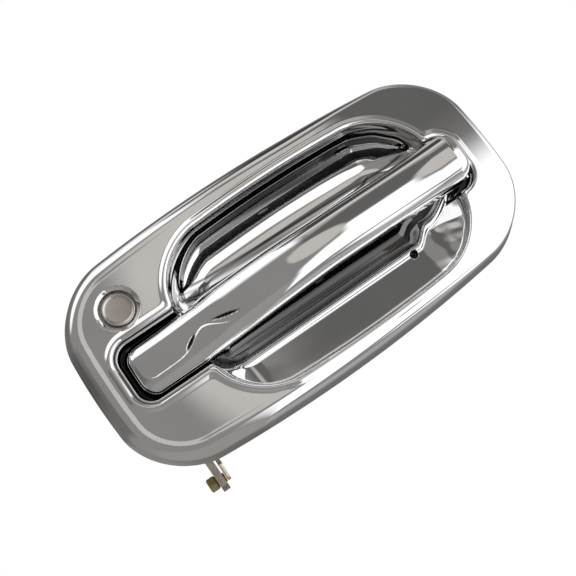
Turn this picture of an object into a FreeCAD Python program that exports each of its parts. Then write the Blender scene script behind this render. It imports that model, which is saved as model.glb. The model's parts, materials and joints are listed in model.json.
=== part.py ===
# Outside door handle of a pickup truck: a chrome bezel with a finger recess, a strap grip that swings out
# about a pin at its front end, and behind them the bell crank, lock cylinder and mounting studs.
# Frame: +Z up, +X towards the grip's pivot, +Y into the door. The origin is the centre of the seal's rear
# face, which lies on the door skin. Sketches on the XZ plane look outwards, so a "height" is towards -Y.
import FreeCAD, Part
import math
import os

V = FreeCAD.Vector
OUT_DIR = "parts"
SHEET_NAME = "Sizes"

SIZES = {
    # bezel outline: four shallow arcs joined by round corners
    "bezel_half_length": 108.0,
    "bezel_half_height": 55.0,
    "bezel_corner": 37.5,
    "bezel_bow_long": 8.2,
    "bezel_bow_end": 5.3,
    "bezel_crown_shift": 11.0,
    # heights in front of the door skin
    "seal_thickness": 1.6,
    "plate_front": 4.6,
    "ceiling_height": 11.6,
    "face_height": 14.4,
    "bead_height": 15.3,
    "edge_roll": 6.5,
    "bead_width": 4.0,
    "bezel_wall": 3.2,
    # finger recess and its cup
    "recess_x": 11.5,
    "recess_z": -1.8,
    "recess_half_length": 68.5,
    "recess_half_height": 42.0,
    "recess_corner": 30.5,
    "recess_bow_long": 4.0,
    "recess_bow_end": 4.0,
    "recess_crown_shift": 4.0,
    "trough_x": 4.0,
    "trough_z": 5.0,
    "trough_half_length": 56.0,
    "trough_half_height": 30.0,
    "trough_corner": 24.0,
    "trough_bow_long": 5.0,
    "trough_bow_end": 3.0,
    "trough_crown_shift": 4.0,
    "trough_depth": 9.0,
    "trough_fillet": 13.0,
    "cup_wall": 1.8,
    "flange_width": 4.2,
    "flange_thickness": 1.9,
    "drain_x": 46.5,
    "drain_z": -27.0,
    "drain_radius": 1.9,
    "drain_boss_radius": 3.6,
    "drain_floor": 2.2,
    # pockets that take the two ends of the grip
    "grip_z": -2.5,
    "left_pocket_end": -92.0,
    "left_pocket_half": 15.6,
    "right_pocket_end": 91.0,
    "right_pocket_half": 14.6,
    "pocket_corner": 9.0,
    "pocket_floor": 6.6,
    "pocket_bead": 2.5,
    "tray_overlap": 1.5,
    "slot_corner": 1.5,
    "ear_slot_start": 80.4,
    "ear_slot_end": 92.0,
    "ear_slot_half": 9.2,
    "hook_slot_start": -80.0,
    "hook_slot_end": -70.2,
    "hook_slot_half": 5.2,
    # rear frame and the bosses it is screwed to
    "frame_inset": 3.7,
    "frame_gap": 0.4,
    "boss_radius": 3.5,
    "pilot_radius": 1.3,
    "screw_radius": 1.25,
    "screw_head_radius": 2.8,
    "screw_head_play": 0.3,
    "frame_screw_length": 9.0,
    # seal
    "seal_outer_inset": 0.8,
    "seal_inner_inset": 4.2,
    # grip
    "grip_left": -89.6,
    "grip_right": 87.5,
    "grip_half_left": 13.4,
    "grip_half_right": 11.4,
    "grip_corner_left": 8.5,
    "grip_corner_right": 6.0,
    "grip_back": 9.6,
    "grip_wall": 2.2,
    "grip_waist_x": 12.0,
    "front_top": 31.2,
    "front_x": 14.0,
    "front_left_radius": 185.0,
    "front_right_radius": 305.0,
    "pad_height": 18.8,
    "back_top": 18.5,
    "back_x": 12.0,
    "back_radius": 364.0,
    "carrier_thickness": 4.0,
    "carrier_gap": 0.2,
    "grip_flank_radius": 300.0,
    "grip_boss_radius": 3.2,
    "grip_screw_seat": 1.6,
    "grip_screw_length": 5.5,
    "grip_pilot_depth": 3.4,
    "bumper_x": -83.0,
    "bumper_spread": 10.4,
    "bumper_radius": 2.0,
    # grip pivot, its pin along Z
    "pivot_x": 88.0,
    "pivot_y": 3.0,
    "pin_radius": 2.5,
    "play": 0.05,
    "bush_radius": 3.6,
    "bush_seat": 0.02,
    "grip_ear_radius": 4.6,
    "grip_ear_neck_radius": 2.2,
    "grip_ear_root_x": 81.6,
    "grip_ear_root_lift": 2.64,
    "grip_ear_taper": 0.01,
    "grip_ear_knee_x": 83.0,
    "grip_ear_knee_y": -7.6,
    "grip_ear_inner": 4.6,
    "grip_ear_outer": 7.8,
    "frame_ear_radius": 5.5,
    "frame_ear_inner": 11.0,
    "frame_ear_outer": 14.4,
    "pin_head": 1.4,
    "pin_head_radius": 4.2,
    "clip_thickness": 0.8,
    # springs
    "wire_radius": 0.6,
    "grip_coil_radius": 3.7,
    "grip_coil_length": 6.4,
    "grip_coil_turns": 4,
    "grip_coil_low_leg": 4.2,
    "grip_coil_high_leg": 7.0,
    "crank_coil_radius": 7.4,
    "crank_coil_start": -76.0,
    "crank_coil_length": 4.4,
    "crank_coil_turns": 3,
    "crank_coil_leg": 9.0,
    # bell crank, its pin along X
    "crank_y": 15.0,
    "crank_z": -32.0,
    "crank_plate": 3.5,
    "crank_hub_radius": 6.0,
    "crank_hub_start": -90.0,
    "crank_hub_end": -66.0,
    "crank_side_gap": 0.4,
    "input_arm_x": -69.0,
    "input_arm_length": 30.0,
    "input_arm_lean": 21.5,
    "input_tip_radius": 3.5,
    "output_arm_x": -82.0,
    "output_y": 30.0,
    "output_z": -57.5,
    "output_tip_radius": 5.5,
    "eye_radius": 2.5,
    "fork_arm_x": -78.2,
    "fork_plate": 2.0,
    "fork_y": 24.5,
    "fork_z": -48.5,
    "fork_tip_radius": 3.6,
    # rod clip
    "rod_clip_radius": 3.2,
    "rod_clip_x": -87.2,
    "rod_radius": 1.75,
    "rod_clip_end": -77.0,
    # pull hook of the grip
    "hook_z": 0.0,
    "hook_half": 4.0,
    "hook_x": -76.5,
    "hook_thickness": 3.0,
    "hook_foot_end": -63.0,
    "hook_gap": 0.4,
    "hook_bend": 3.0,
    "hook_corner": 1.0,
    # lock cylinder
    "lock_x": -77.2,
    "lock_z": 26.7,
    "key_hole_radius": 8.4,
    "key_hole_chamfer": 1.4,
    "lock_barrel_radius": 9.5,
    "lock_flange_radius": 11.0,
    "lock_flange": 2.0,
    "lock_barrel_front": 9.7,
    "lock_barrel_back": 33.6,
    "lock_plug_radius": 6.42,
    "lock_cap_radius": 7.6,
    "lock_cap_front": 11.2,
    "lock_cap_back": 10.0,
    "lock_plug_back": 34.0,
    "keyway_width": 2.0,
    "keyway_height": 8.0,
    "keyway_depth": 16.0,
    "retainer_rim": 1.5,
    "retainer_mouth": 10.0,
    "tail_half": 2.5,
    "pawl_arm": 22.0,
    "pawl_plate": 2.5,
    "pawl_hub_radius": 6.0,
    "pawl_tip_radius": 4.5,
    "pawl_screw_radius": 1.5,
    "pawl_screw_length": 8.0,
    # mounting studs
    "stud_radius": 3.0,
    "stud_root_radius": 3.6,
    "stud_flange_radius": 5.0,
    "stud_flange": 1.5,
    "stud_length": 24.0,
    "stud_left_x": -62.0,
    "stud_left_z": 40.0,
    "stud_right_x": 88.0,
    "stud_right_z": -33.0,
}

# centres of the four screws that hold the frame to the bezel
SCREW_SPOTS = ((-43.5, 46.8), (-43.5, -47.0), (76.5, 39.0), (76.5, -39.6))
# places along the grip of the screws that hold its shell
GRIP_SCREW_SPOTS = (-40.0, 12.0, 66.0)
# reach of the regions that shape the grip's front and back: past both its ends, before it and behind it
REGION_END = 110.0
REGION_BEFORE = -60.0
REGION_BEHIND = 10.0
# points of each turn of a spring
COIL_POINTS = 16
# lengths and volumes below which two things count as the same
SAME_PLACE = 1e-4
SAME_SIZE = 1e-6
# thickness of a bell crank ear with its side gap, as a sheet expression
CRANK_EAR = "crank_side_gap + frame_ear_outer - frame_ear_inner"

doc = FreeCAD.newDocument("DoorHandle")
sheet = doc.addObject("Spreadsheet::Sheet", SHEET_NAME)
for row, (alias, value) in enumerate(SIZES.items(), start=1):
    sheet.set(f"A{row}", alias)
    sheet.set(f"B{row}", str(value))
    sheet.setAlias(f"B{row}", alias)
doc.recompute()


def size(alias):
    """The value that the sheet holds for an alias."""
    return float(getattr(sheet, alias))


def cells(text):
    """An expression on the sheet: the words in text that are aliases get the sheet's name in front."""
    words = text.replace("(", " ( ").replace(")", " ) ").split()
    return " ".join(f"{SHEET_NAME}.{word}" if word in SIZES else word for word in words)


# ---------------------------------------------------------------- outlines

def arc_through(centre, radius, start, end):
    """The short arc about a centre from one point to another, as a three-point arc."""
    middle = (start - centre).normalize() + (end - centre).normalize()
    return Part.Arc(start, centre + middle.normalize() * radius, end)


def bowed_outline(kind, grow=0.0, centre=V(0, 0, 0)):
    """A rectangle with bowed sides and round corners, as eight tangent arcs. grow offsets it outwards."""
    half_x, half_z = size(f"{kind}_half_length"), size(f"{kind}_half_height")
    bow_x, bow_z = size(f"{kind}_bow_long"), size(f"{kind}_bow_end")
    corner, shift = size(f"{kind}_corner"), size(f"{kind}_crown_shift")
    long_radius = (half_x ** 2 + bow_x ** 2) / (2 * bow_x)
    end_radius = (half_z ** 2 + bow_z ** 2) / (2 * bow_z)
    outline, points = [], []
    for sign_x, sign_z in ((1, 1), (-1, 1), (-1, -1), (1, -1)):
        long_centre = V(-shift, sign_z * (half_z - long_radius), 0)
        end_centre = V(sign_x * (half_x - end_radius), 0, 0)
        corner_centre = meet(long_centre, long_radius - corner, end_centre, end_radius - corner,
                             sign_x, sign_z)
        on_long = long_centre + (corner_centre - long_centre).normalize() * (long_radius + grow)
        on_end = end_centre + (corner_centre - end_centre).normalize() * (end_radius + grow)
        first, second = (on_end, on_long) if sign_x == sign_z else (on_long, on_end)
        points.append((first + centre, second + centre))
        outline.append(arc_through(corner_centre + centre, corner + grow, first + centre, second + centre))
        outline.append((long_centre, long_radius) if sign_x == sign_z else (end_centre, end_radius))
    for index in range(1, 8, 2):
        side_centre, radius = outline[index]
        start, end = points[index // 2][1], points[(index // 2 + 1) % 4][0]
        outline[index] = arc_through(side_centre + centre, radius + grow, start, end)
    return outline


def meet(centre_a, radius_a, centre_b, radius_b, sign_x, sign_z):
    """The crossing of two circles that lies in the asked quadrant."""
    apart = centre_b - centre_a
    along = (radius_a ** 2 - radius_b ** 2 + apart.Length ** 2) / (2 * apart.Length)
    across = math.sqrt(radius_a ** 2 - along ** 2)
    unit = V(apart).normalize()
    side = V(-unit.y, unit.x, 0)
    for turn in (1, -1):
        point = centre_a + unit * along + side * (turn * across)
        if point.x * sign_x > 0 and point.y * sign_z > 0:
            return point
    raise ValueError("the circles do not meet in that quadrant")


def rounded_polygon(corners):
    """Lines and arcs through (x, y, radius) corners, listed counter-clockwise."""
    edges, ends = [], []
    count = len(corners)
    for index, (x, y, radius) in enumerate(corners):
        here = V(x, y, 0)
        before = V(*corners[index - 1][:2], 0) - here
        after = V(*corners[(index + 1) % count][:2], 0) - here
        if radius == 0:
            ends.append((here, here, None))
            continue
        half = before.getAngle(after) / 2
        reach = radius / math.tan(half)
        bisector = (before.normalize() + after.normalize()).normalize()
        centre = here + bisector * (radius / math.sin(half))
        start, end = here + before * reach, here + after * reach
        ends.append((start, end, Part.Arc(start, centre - bisector * radius, end)))
    for index, (_, end, arc) in enumerate(ends):
        if arc:
            edges.append(arc)
        following = ends[(index + 1) % count][0]
        if (following - end).Length > SAME_SIZE:
            edges.append(Part.LineSegment(end, following))
    return edges


def box_outline(x0, x1, y0, y1, radius=0.0):
    """A rectangle with equal corner radii."""
    return rounded_polygon([(x0, y0, radius), (x1, y0, radius), (x1, y1, radius), (x0, y1, radius)])


def link_outline(centre_a, radius_a, centre_b, radius_b):
    """The outline round two circles: two arcs and the two lines that touch both."""
    a, b = V(*centre_a, 0), V(*centre_b, 0)
    apart = b - a
    heading = math.atan2(apart.y, apart.x)
    lean = math.acos((radius_a - radius_b) / apart.Length)

    def at(centre, radius, angle):
        return centre + V(math.cos(angle), math.sin(angle), 0) * radius

    a_left, a_right = at(a, radius_a, heading + lean), at(a, radius_a, heading - lean)
    b_left, b_right = at(b, radius_b, heading + lean), at(b, radius_b, heading - lean)
    return [
        Part.Arc(a_left, at(a, radius_a, heading + math.pi), a_right),
        Part.LineSegment(a_right, b_right),
        Part.Arc(b_right, at(b, radius_b, heading), b_left),
        Part.LineSegment(b_left, a_left),
    ]


def circle(x, y, radius):
    """One full circle."""
    return [Part.Circle(V(x, y, 0), V(0, 0, 1), radius)]


# ---------------------------------------------------------------- features

def new_body(label):
    """An empty body under its own label."""
    body = doc.addObject("PartDesign::Body", label)
    body.Label = label
    body.AllowCompound = True
    return body


def sketch(body, plane, outline, offset):
    """A sketch on one of the body's origin planes, moved along the plane's normal by a sheet expression."""
    drawn = body.newObject("Sketcher::SketchObject", "Outline")
    support = next(item for item in body.Origin.OriginFeatures if item.Role == plane)
    drawn.AttachmentSupport = (support, [""])
    drawn.MapMode = "FlatFace"
    drawn.setExpression("AttachmentOffset.Base.z", cells(offset))
    for edge in outline:
        drawn.addGeometry(edge, False)
    drawn.Visibility = False
    return drawn


def pad(body, plane, outline, low, high):
    """Adds material between two heights along the plane's normal, both sheet expressions."""
    feature = body.newObject("PartDesign::Pad", "Pad")
    feature.Profile = sketch(body, plane, outline, low)
    feature.setExpression("Length", cells(f"( {high} ) - ( {low} )"))
    doc.recompute()
    return feature


def pocket(body, plane, outline, low, high):
    """Removes material between two heights along the plane's normal, and insists that something went."""
    before = body.Shape.Volume
    feature = body.newObject("PartDesign::Pocket", "Pocket")
    feature.Profile = sketch(body, plane, outline, high)
    feature.setExpression("Length", cells(f"( {high} ) - ( {low} )"))
    doc.recompute()
    if body.Shape.Volume >= before - SAME_SIZE:
        raise RuntimeError(f"a pocket of {body.Label} removed nothing")
    return feature


def dress(body, kind, alias, test):
    """A fillet or chamfer whose size is a cell, on the edges of the tip that pass a test."""
    base = body.Tip
    names = [f"Edge{i}" for i, edge in enumerate(base.Shape.Edges, start=1) if test(edge)]
    if not names:
        raise RuntimeError(f"no edge of {body.Label} passes the test")
    feature = body.newObject(f"PartDesign::{kind}", kind)
    feature.Base = (base, names)
    feature.setExpression("Radius" if kind == "Fillet" else "Size", cells(alias))
    doc.recompute()
    if "Invalid" in feature.State:
        raise RuntimeError(f"{kind} of {body.Label} failed")
    return feature


def lies_at(edge, depth):
    """True if the whole edge lies in the plane y = depth."""
    box = edge.BoundBox
    return abs(box.YMin - depth) < SAME_PLACE and abs(box.YMax - depth) < SAME_PLACE


AXES = {"x": V(1, 0, 0), "y": V(0, 1, 0), "z": V(0, 0, 1)}


def rod(label, axis, radius, x, y, z, length):
    """A Part cylinder from (x, y, z) along an axis. Every size is a sheet expression."""
    solid = doc.addObject("Part::Cylinder", label)
    solid.Placement.Rotation = FreeCAD.Rotation(V(0, 0, 1), AXES[axis])
    solid.setExpression("Radius", cells(radius))
    solid.setExpression("Height", cells(length))
    for side, text in (("x", x), ("y", y), ("z", z)):
        solid.setExpression(f"Placement.Base.{side}", cells(text))
    return solid


def block(label, x, y, z, length, width, height):
    """A Part box with its lowest corner at (x, y, z). Every size is a sheet expression."""
    solid = doc.addObject("Part::Box", label)
    for name, text in (("Length", length), ("Width", width), ("Height", height)):
        solid.setExpression(name, cells(text))
    for side, text in (("x", x), ("y", y), ("z", z)):
        solid.setExpression(f"Placement.Base.{side}", cells(text))
    return solid


def cut(label, base, tool):
    """base less tool."""
    result = doc.addObject("Part::Cut", label)
    result.Base, result.Tool = base, tool
    return result


def fuse(label, *shapes):
    """The shapes as one."""
    result = doc.addObject("Part::MultiFuse", label)
    result.Shapes = list(shapes)
    return result


def group(label, *shapes):
    """Separate solids under one label."""
    result = doc.addObject("Part::Compound", label)
    result.Links = list(shapes)
    return result


def ring(label, axis, outer, inner, x, y, z, length):
    """A tube from (x, y, z) along an axis."""
    return cut(label, rod(label + "_outer", axis, outer, x, y, z, length),
               rod(label + "_inner", axis, inner, x, y, z, length))


# ---------------------------------------------------------------- pieces

def recess(grow=0.0):
    """The finger recess outline, offset outwards by grow."""
    return bowed_outline("recess", grow, V(size("recess_x"), size("recess_z"), 0))


def pocket_outline(side, inner_end, grow=0.0):
    """The box outline of the left or right end pocket, which runs inwards as far as inner_end."""
    half = size(f"{side}_pocket_half") + grow
    outer_end = size(f"{side}_pocket_end")
    middle = size("grip_z")
    corner = size("pocket_corner") + grow
    if side == "left":
        low, high, left_corner, right_corner = outer_end - grow, inner_end, corner, 0
    else:
        low, high, left_corner, right_corner = inner_end, outer_end + grow, 0, corner
    return rounded_polygon([
        (low, middle - half, left_corner),
        (high, middle - half, right_corner),
        (high, middle + half, right_corner),
        (low, middle + half, left_corner),
    ])


def bezel():
    """Chrome surround: a rolled-edge shell with a bead round its opening and bosses inside."""
    body = new_body("bezel")
    pad(body, "XZ_Plane", bowed_outline("bezel"), "seal_thickness", "face_height")
    dress(body, "Fillet", "edge_roll", lambda edge: lies_at(edge, -size("face_height")))
    pocket(body, "XZ_Plane", bowed_outline("bezel", -size("bezel_wall")), "seal_thickness", "ceiling_height")
    middle, bead = size("recess_x"), size("pocket_bead")
    pockets = [pocket_outline(side, middle) for side in ("left", "right")]
    rims = [pocket_outline(side, middle, bead) for side in ("left", "right")]
    for outline in (recess(size("bead_width")), *rims):
        pad(body, "XZ_Plane", outline, "ceiling_height", "bead_height")
    for outline in (recess(), *pockets):
        pocket(body, "XZ_Plane", outline, "ceiling_height", "bead_height")
    for x, z in SCREW_SPOTS:
        pad(body, "XZ_Plane", circle(x, z, size("boss_radius")), "plate_front", "ceiling_height")
        pocket(body, "XZ_Plane", circle(x, z, size("pilot_radius")), "plate_front", "ceiling_height - 1")
    hole = circle(size("lock_x"), size("lock_z"), size("key_hole_radius"))
    pocket(body, "XZ_Plane", hole, "ceiling_height", "face_height")
    dress(body, "Chamfer", "key_hole_chamfer", is_key_hole_rim)
    return body


def is_key_hole_rim(edge):
    """True for the front edge of the key hole."""
    curve = edge.Curve
    return (lies_at(edge, -size("face_height")) and hasattr(curve, "Radius")
            and abs(curve.Radius - size("key_hole_radius")) < SAME_PLACE)


def trough(grow=0.0):
    """The outline of the deep part of the finger recess, offset outwards by grow."""
    return bowed_outline("trough", grow, V(size("trough_x"), size("trough_z"), 0))


def bucket(label, grow, depth):
    """The solid of the finger recess: a trough with a rolled floor, below a shelf that fills the outline."""
    body = new_body(label)
    pad(body, "XZ_Plane", trough(grow), f"0 - ( {depth} )", f"pocket_floor - {grow}")
    floor_y = size("trough_depth") + grow
    dress(body, "Fillet", f"trough_fillet + {grow}", lambda edge: lies_at(edge, floor_y))
    pad(body, "XZ_Plane", recess(grow), f"pocket_floor - {grow}", "ceiling_height")
    return body


def recess_cup():
    """Bucket behind the finger recess, with a flange under the bezel and a tray for each grip end."""
    wall = size("cup_wall")
    outer = bucket("cup_outer", wall, "trough_depth + cup_wall")
    flange = recess(size("flange_width"))
    pad(outer, "XZ_Plane", flange, "ceiling_height - flange_thickness", "ceiling_height")
    boss = circle(size("drain_x"), size("drain_z"), size("drain_boss_radius"))
    pad(outer, "XZ_Plane", boss, "drain_floor - cup_wall", "pocket_floor")
    space = bucket("cup_space", 0.0, "trough_depth")
    for side in ("left", "right"):
        pad(outer, "XZ_Plane", tray_outline(side, wall), "pocket_floor - cup_wall", "ceiling_height")
        pad(space, "XZ_Plane", tray_outline(side, 0), "pocket_floor", "ceiling_height")
    for outline in (hook_slot(), ear_slot()):
        pad(space, "XZ_Plane", outline, "pocket_floor - cup_wall - 1", "pocket_floor + 1")
    drain = circle(size("drain_x"), size("drain_z"), size("drain_radius"))
    pad(space, "XZ_Plane", drain, "drain_floor", "pocket_floor + 1")
    return cut("recess_cup", outer, space)


def tray_outline(side, grow):
    """A pocket outline that stops just inside the recess, so that the bucket stays open."""
    reach = size("recess_half_length") - size("tray_overlap")
    inner_end = size("recess_x") + (reach if side == "right" else -reach)
    return pocket_outline(side, inner_end, grow)


def hook_slot():
    """Slot that the pull hook swings through."""
    half = size("hook_slot_half")
    middle = size("hook_z")
    return box_outline(size("hook_slot_start"), size("hook_slot_end"), middle - half, middle + half,
                       size("slot_corner"))


def ear_slot():
    """Slot that the grip's pivot ears swing through."""
    half = size("ear_slot_half")
    middle = size("grip_z")
    return box_outline(size("ear_slot_start"), size("ear_slot_end"), middle - half, middle + half,
                       size("slot_corner"))


def rear_frame():
    """Cast frame plate inside the bezel, with ears for the grip's pin and for the bell crank's pin."""
    body = new_body("rear_frame")
    gap = size("frame_gap")
    pad(body, "XZ_Plane", bowed_outline("bezel", -size("frame_inset")), "seal_thickness", "plate_front")
    pocket(body, "XZ_Plane", recess(size("cup_wall") + gap), "seal_thickness", "plate_front")
    pocket(body, "XZ_Plane", hook_slot(), "seal_thickness", "plate_front")
    pocket(body, "XZ_Plane", ear_slot(), "seal_thickness", "plate_front")
    ear = size("frame_ear_radius")
    pivot = (size("pivot_x"), size("pivot_y"))
    root = (size("pivot_x"), ear - size("plate_front"))
    for low, high in (("grip_z + frame_ear_inner", "grip_z + frame_ear_outer"),
                      ("grip_z - frame_ear_outer", "grip_z - frame_ear_inner")):
        pad(body, "XY_Plane", link_outline(pivot, ear, root, ear), low, high)
    pin_hole = circle(*pivot, size("pin_radius") + size("bush_seat"))
    pocket(body, "XY_Plane", pin_hole, "grip_z - frame_ear_outer", "grip_z + frame_ear_outer")
    crank = (size("crank_y"), size("crank_z"))
    root = (ear - size("plate_front"), size("crank_z"))
    for low, high in ((f"crank_hub_start - ( {CRANK_EAR} )", "crank_hub_start - crank_side_gap"),
                      ("crank_hub_end + crank_side_gap", f"crank_hub_end + {CRANK_EAR}")):
        pad(body, "YZ_Plane", link_outline(crank, ear, root, ear), low, high)
    pin_hole = circle(*crank, size("pin_radius") + size("bush_seat"))
    pocket(body, "YZ_Plane", pin_hole, f"crank_hub_start - ( {CRANK_EAR} )", f"crank_hub_end + {CRANK_EAR}")
    lock = circle(size("lock_x"), size("lock_z"), size("lock_barrel_radius") + gap / 4)
    pocket(body, "XZ_Plane", lock, "seal_thickness", "plate_front")
    for x, z in SCREW_SPOTS:
        pocket(body, "XZ_Plane", circle(x, z, size("pilot_radius")), "seal_thickness", "plate_front")
    stud_hole = size("stud_root_radius") + size("bush_seat")
    for side in ("left", "right"):
        hole = circle(size(f"stud_{side}_x"), size(f"stud_{side}_z"), stud_hole)
        pocket(body, "XZ_Plane", hole, "seal_thickness", "plate_front")
    return body


def door_seal():
    """Flat foam ring between the handle and the door skin."""
    body = new_body("door_seal")
    pad(body, "XZ_Plane", bowed_outline("bezel", -size("seal_outer_inset")), "0", "seal_thickness")
    pocket(body, "XZ_Plane", bowed_outline("bezel", -size("seal_inner_inset")), "0", "seal_thickness")
    return body


def grip_outline(inset=0.0):
    """The grip from the front: a bar that widens towards its free end, with round corners."""
    left, right = size("grip_left") + inset, size("grip_right") - inset
    half_left, half_right = size("grip_half_left") - inset, size("grip_half_right") - inset
    middle, waist, flank = size("grip_z"), size("grip_waist_x"), size("grip_flank_radius")
    corner_left, corner_right = size("grip_corner_left") - inset, size("grip_corner_right") - inset
    return rounded_polygon([
        (left, middle - half_left, corner_left),
        (waist, middle - half_right, flank),
        (right, middle - half_right, corner_right),
        (right, middle + half_right, corner_right),
        (waist, middle + half_right, flank),
        (left, middle + half_left, corner_left),
    ])


def arc_height(x, top, middle, radius):
    """Height at x of an arc that peaks at (middle, top)."""
    return top - radius + math.sqrt(radius ** 2 - (x - middle) ** 2)


def back_height(x, lift=0.0):
    """Height at x of the grip's back, or of the arc that lies lift in front of it."""
    return arc_height(x, size("back_top") + lift, size("back_x"), size("back_radius") + lift)


def before_front(inset):
    """On the XY plane: the region before the grip's front, which is a flat pad and an arch of two arcs."""
    top, middle = size("front_top") - inset, size("front_x")
    left_radius, right_radius = size("front_left_radius") - inset, size("front_right_radius") - inset
    pad_height = size("pad_height") - inset
    drop = left_radius - (top - pad_height)
    pad_end = middle - math.sqrt(left_radius ** 2 - drop ** 2)

    def at(x, radius):
        return V(x, -arc_height(x, top, middle, radius), 0)

    corners = [V(-REGION_END, -pad_height, 0), V(pad_end, -pad_height, 0), at(REGION_END, right_radius),
               V(REGION_END, REGION_BEFORE, 0), V(-REGION_END, REGION_BEFORE, 0)]
    return [
        Part.LineSegment(corners[0], corners[1]),
        Part.Arc(corners[1], at((pad_end + middle) / 2, left_radius), at(middle, left_radius)),
        Part.Arc(at(middle, right_radius), at((middle + REGION_END) / 2, right_radius), corners[2]),
        Part.LineSegment(corners[2], corners[3]),
        Part.LineSegment(corners[3], corners[4]),
        Part.LineSegment(corners[4], corners[0]),
    ]


def beyond_back(lift, far_y):
    """On the XY plane: the region between the line y = far_y and the arc that lies lift before the back."""
    ends = [V(x, -back_height(x, lift), 0) for x in (-REGION_END, REGION_END)]
    top = V(size("back_x"), -back_height(size("back_x"), lift), 0)
    corners = [V(REGION_END, far_y, 0), V(-REGION_END, far_y, 0)]
    return [
        Part.Arc(ends[0], top, ends[1]),
        Part.LineSegment(ends[1], corners[0]),
        Part.LineSegment(corners[0], corners[1]),
        Part.LineSegment(corners[1], ends[0]),
    ]


def arched_bar(label, inset, before, beyond):
    """The grip's front outline, set in by inset, less the regions before its front and beyond its back."""
    body = new_body(label)
    pad(body, "XZ_Plane", grip_outline(inset), "grip_back", "front_top + 1")
    for region in (before, beyond):
        pocket(body, "XY_Plane", region, "grip_z - grip_half_left - 1", "grip_z + grip_half_left + 1")
    return body


def grip_shell():
    """Hollow chrome shell of the grip, open behind for its carrier, with a boss for each of its screws."""
    wall, split = size("grip_wall"), size("carrier_thickness")
    behind = beyond_back(0, REGION_BEHIND)
    outer = arched_bar("grip_outer", 0, before_front(0), behind)
    core = arched_bar("grip_core", wall, before_front(wall), beyond_back(split, REGION_BEHIND))
    seat = arched_bar("grip_seat", wall, beyond_back(split, REGION_BEFORE), behind)
    for x in GRIP_SCREW_SPOTS:
        boss = circle(x, size("grip_z"), size("grip_boss_radius"))
        pocket(core, "XZ_Plane", boss, "grip_back", "front_top")
    hollow = cut("grip_hollow", outer, fuse("grip_space", core, seat))
    pilots = []
    for index, x in enumerate(GRIP_SCREW_SPOTS):
        deepest = f"{-back_height(x, split)} - grip_pilot_depth"
        pilots.append(rod(f"grip_pilot_{index}", "y", "pilot_radius", f"{x}", deepest, "grip_z",
                          "grip_pilot_depth + 1"))
    return cut("grip_shell", hollow, fuse("grip_pilots", *pilots))


def grip_carrier():
    """Back of the grip, with the pivot ears at one end and the pull hook at the other."""
    split = size("carrier_thickness")
    inset = size("grip_wall") + size("carrier_gap")
    body = arched_bar("grip_carrier", inset, beyond_back(split, REGION_BEFORE), beyond_back(0, REGION_BEHIND))
    ears = (("grip_z + grip_ear_inner", "grip_z + grip_ear_outer"),
            ("grip_z - grip_ear_outer", "grip_z - grip_ear_inner"))
    pivot = (size("pivot_x"), size("pivot_y"))
    neck = size("grip_ear_neck_radius")
    knee = (size("grip_ear_knee_x"), size("grip_ear_knee_y"))
    root = (size("grip_ear_root_x"), size("grip_ear_root_lift") - back_height(size("grip_right"), split))
    wide_neck = neck + size("grip_ear_taper")
    for low, high in ears:
        pad(body, "XY_Plane", link_outline(knee, wide_neck, root, neck), low, high)
        pad(body, "XY_Plane", link_outline(pivot, size("grip_ear_radius"), knee, neck), low, high)
    bush_hole = circle(*pivot, size("bush_radius") + size("bush_seat"))
    pocket(body, "XY_Plane", bush_hole, "grip_z - grip_ear_outer", "grip_z + grip_ear_outer")
    pad(body, "XY_Plane", hook_outline(), "hook_z - hook_half", "hook_z + hook_half")
    for x in GRIP_SCREW_SPOTS:
        seat = f"{back_height(x)} + grip_screw_seat"
        hole = circle(x, size("grip_z"), size("pilot_radius"))
        head_room = circle(x, size("grip_z"), size("screw_head_radius") + size("screw_head_play"))
        pocket(body, "XZ_Plane", head_room, "grip_back - 1", seat)
        pocket(body, "XZ_Plane", hole, "grip_back - 1", "front_top")
    return body


def hook_outline():
    """On the XY plane: a shank behind the grip and a foot that reaches behind the crank's tip."""
    half = size("hook_thickness") / 2
    left, right = size("hook_x") - half, size("hook_x") + half
    foot = input_tip()[0] + size("input_tip_radius") + size("hook_gap")
    root = -size("grip_back") - half
    end, corner = size("hook_foot_end"), size("hook_corner")
    return rounded_polygon([
        (left, root, 0),
        (right, root, 0),
        (right, foot, corner),
        (end, foot, corner),
        (end, foot + 2 * half, corner),
        (left, foot + 2 * half, size("hook_bend")),
    ])


def input_tip():
    """(y, z) of the end of the bell crank's input arm."""
    lean = math.radians(size("input_arm_lean"))
    arm = size("input_arm_length")
    return size("crank_y") + arm * math.sin(lean), size("crank_z") + arm * math.cos(lean)


def bell_crank():
    """Lever with a long hub: the grip's hook pulls one arm, and a forked pair of arms lifts the latch rod."""
    body = new_body("bell_crank")
    crank = (size("crank_y"), size("crank_z"))
    hub = size("crank_hub_radius")
    pad(body, "YZ_Plane", circle(*crank, hub), "crank_hub_start", "crank_hub_end")
    arms = (("input_arm_x", "crank_plate", input_tip(), size("input_tip_radius")),
            ("output_arm_x", "crank_plate", (size("output_y"), size("output_z")), size("output_tip_radius")),
            ("fork_arm_x", "fork_plate", (size("fork_y"), size("fork_z")), size("fork_tip_radius")))
    for middle, plate, tip, radius in arms:
        arm = link_outline(crank, hub, tip, radius)
        pad(body, "YZ_Plane", arm, f"{middle} - {plate} / 2", f"{middle} + {plate} / 2")
    bore = circle(*crank, size("bush_radius") + size("bush_seat"))
    pocket(body, "YZ_Plane", bore, "crank_hub_start", "crank_hub_end")
    eye = circle(size("output_y"), size("output_z"), size("eye_radius") + size("play"))
    pocket(body, "YZ_Plane", eye, "output_arm_x - crank_plate / 2", "output_arm_x + crank_plate / 2")
    return body


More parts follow.
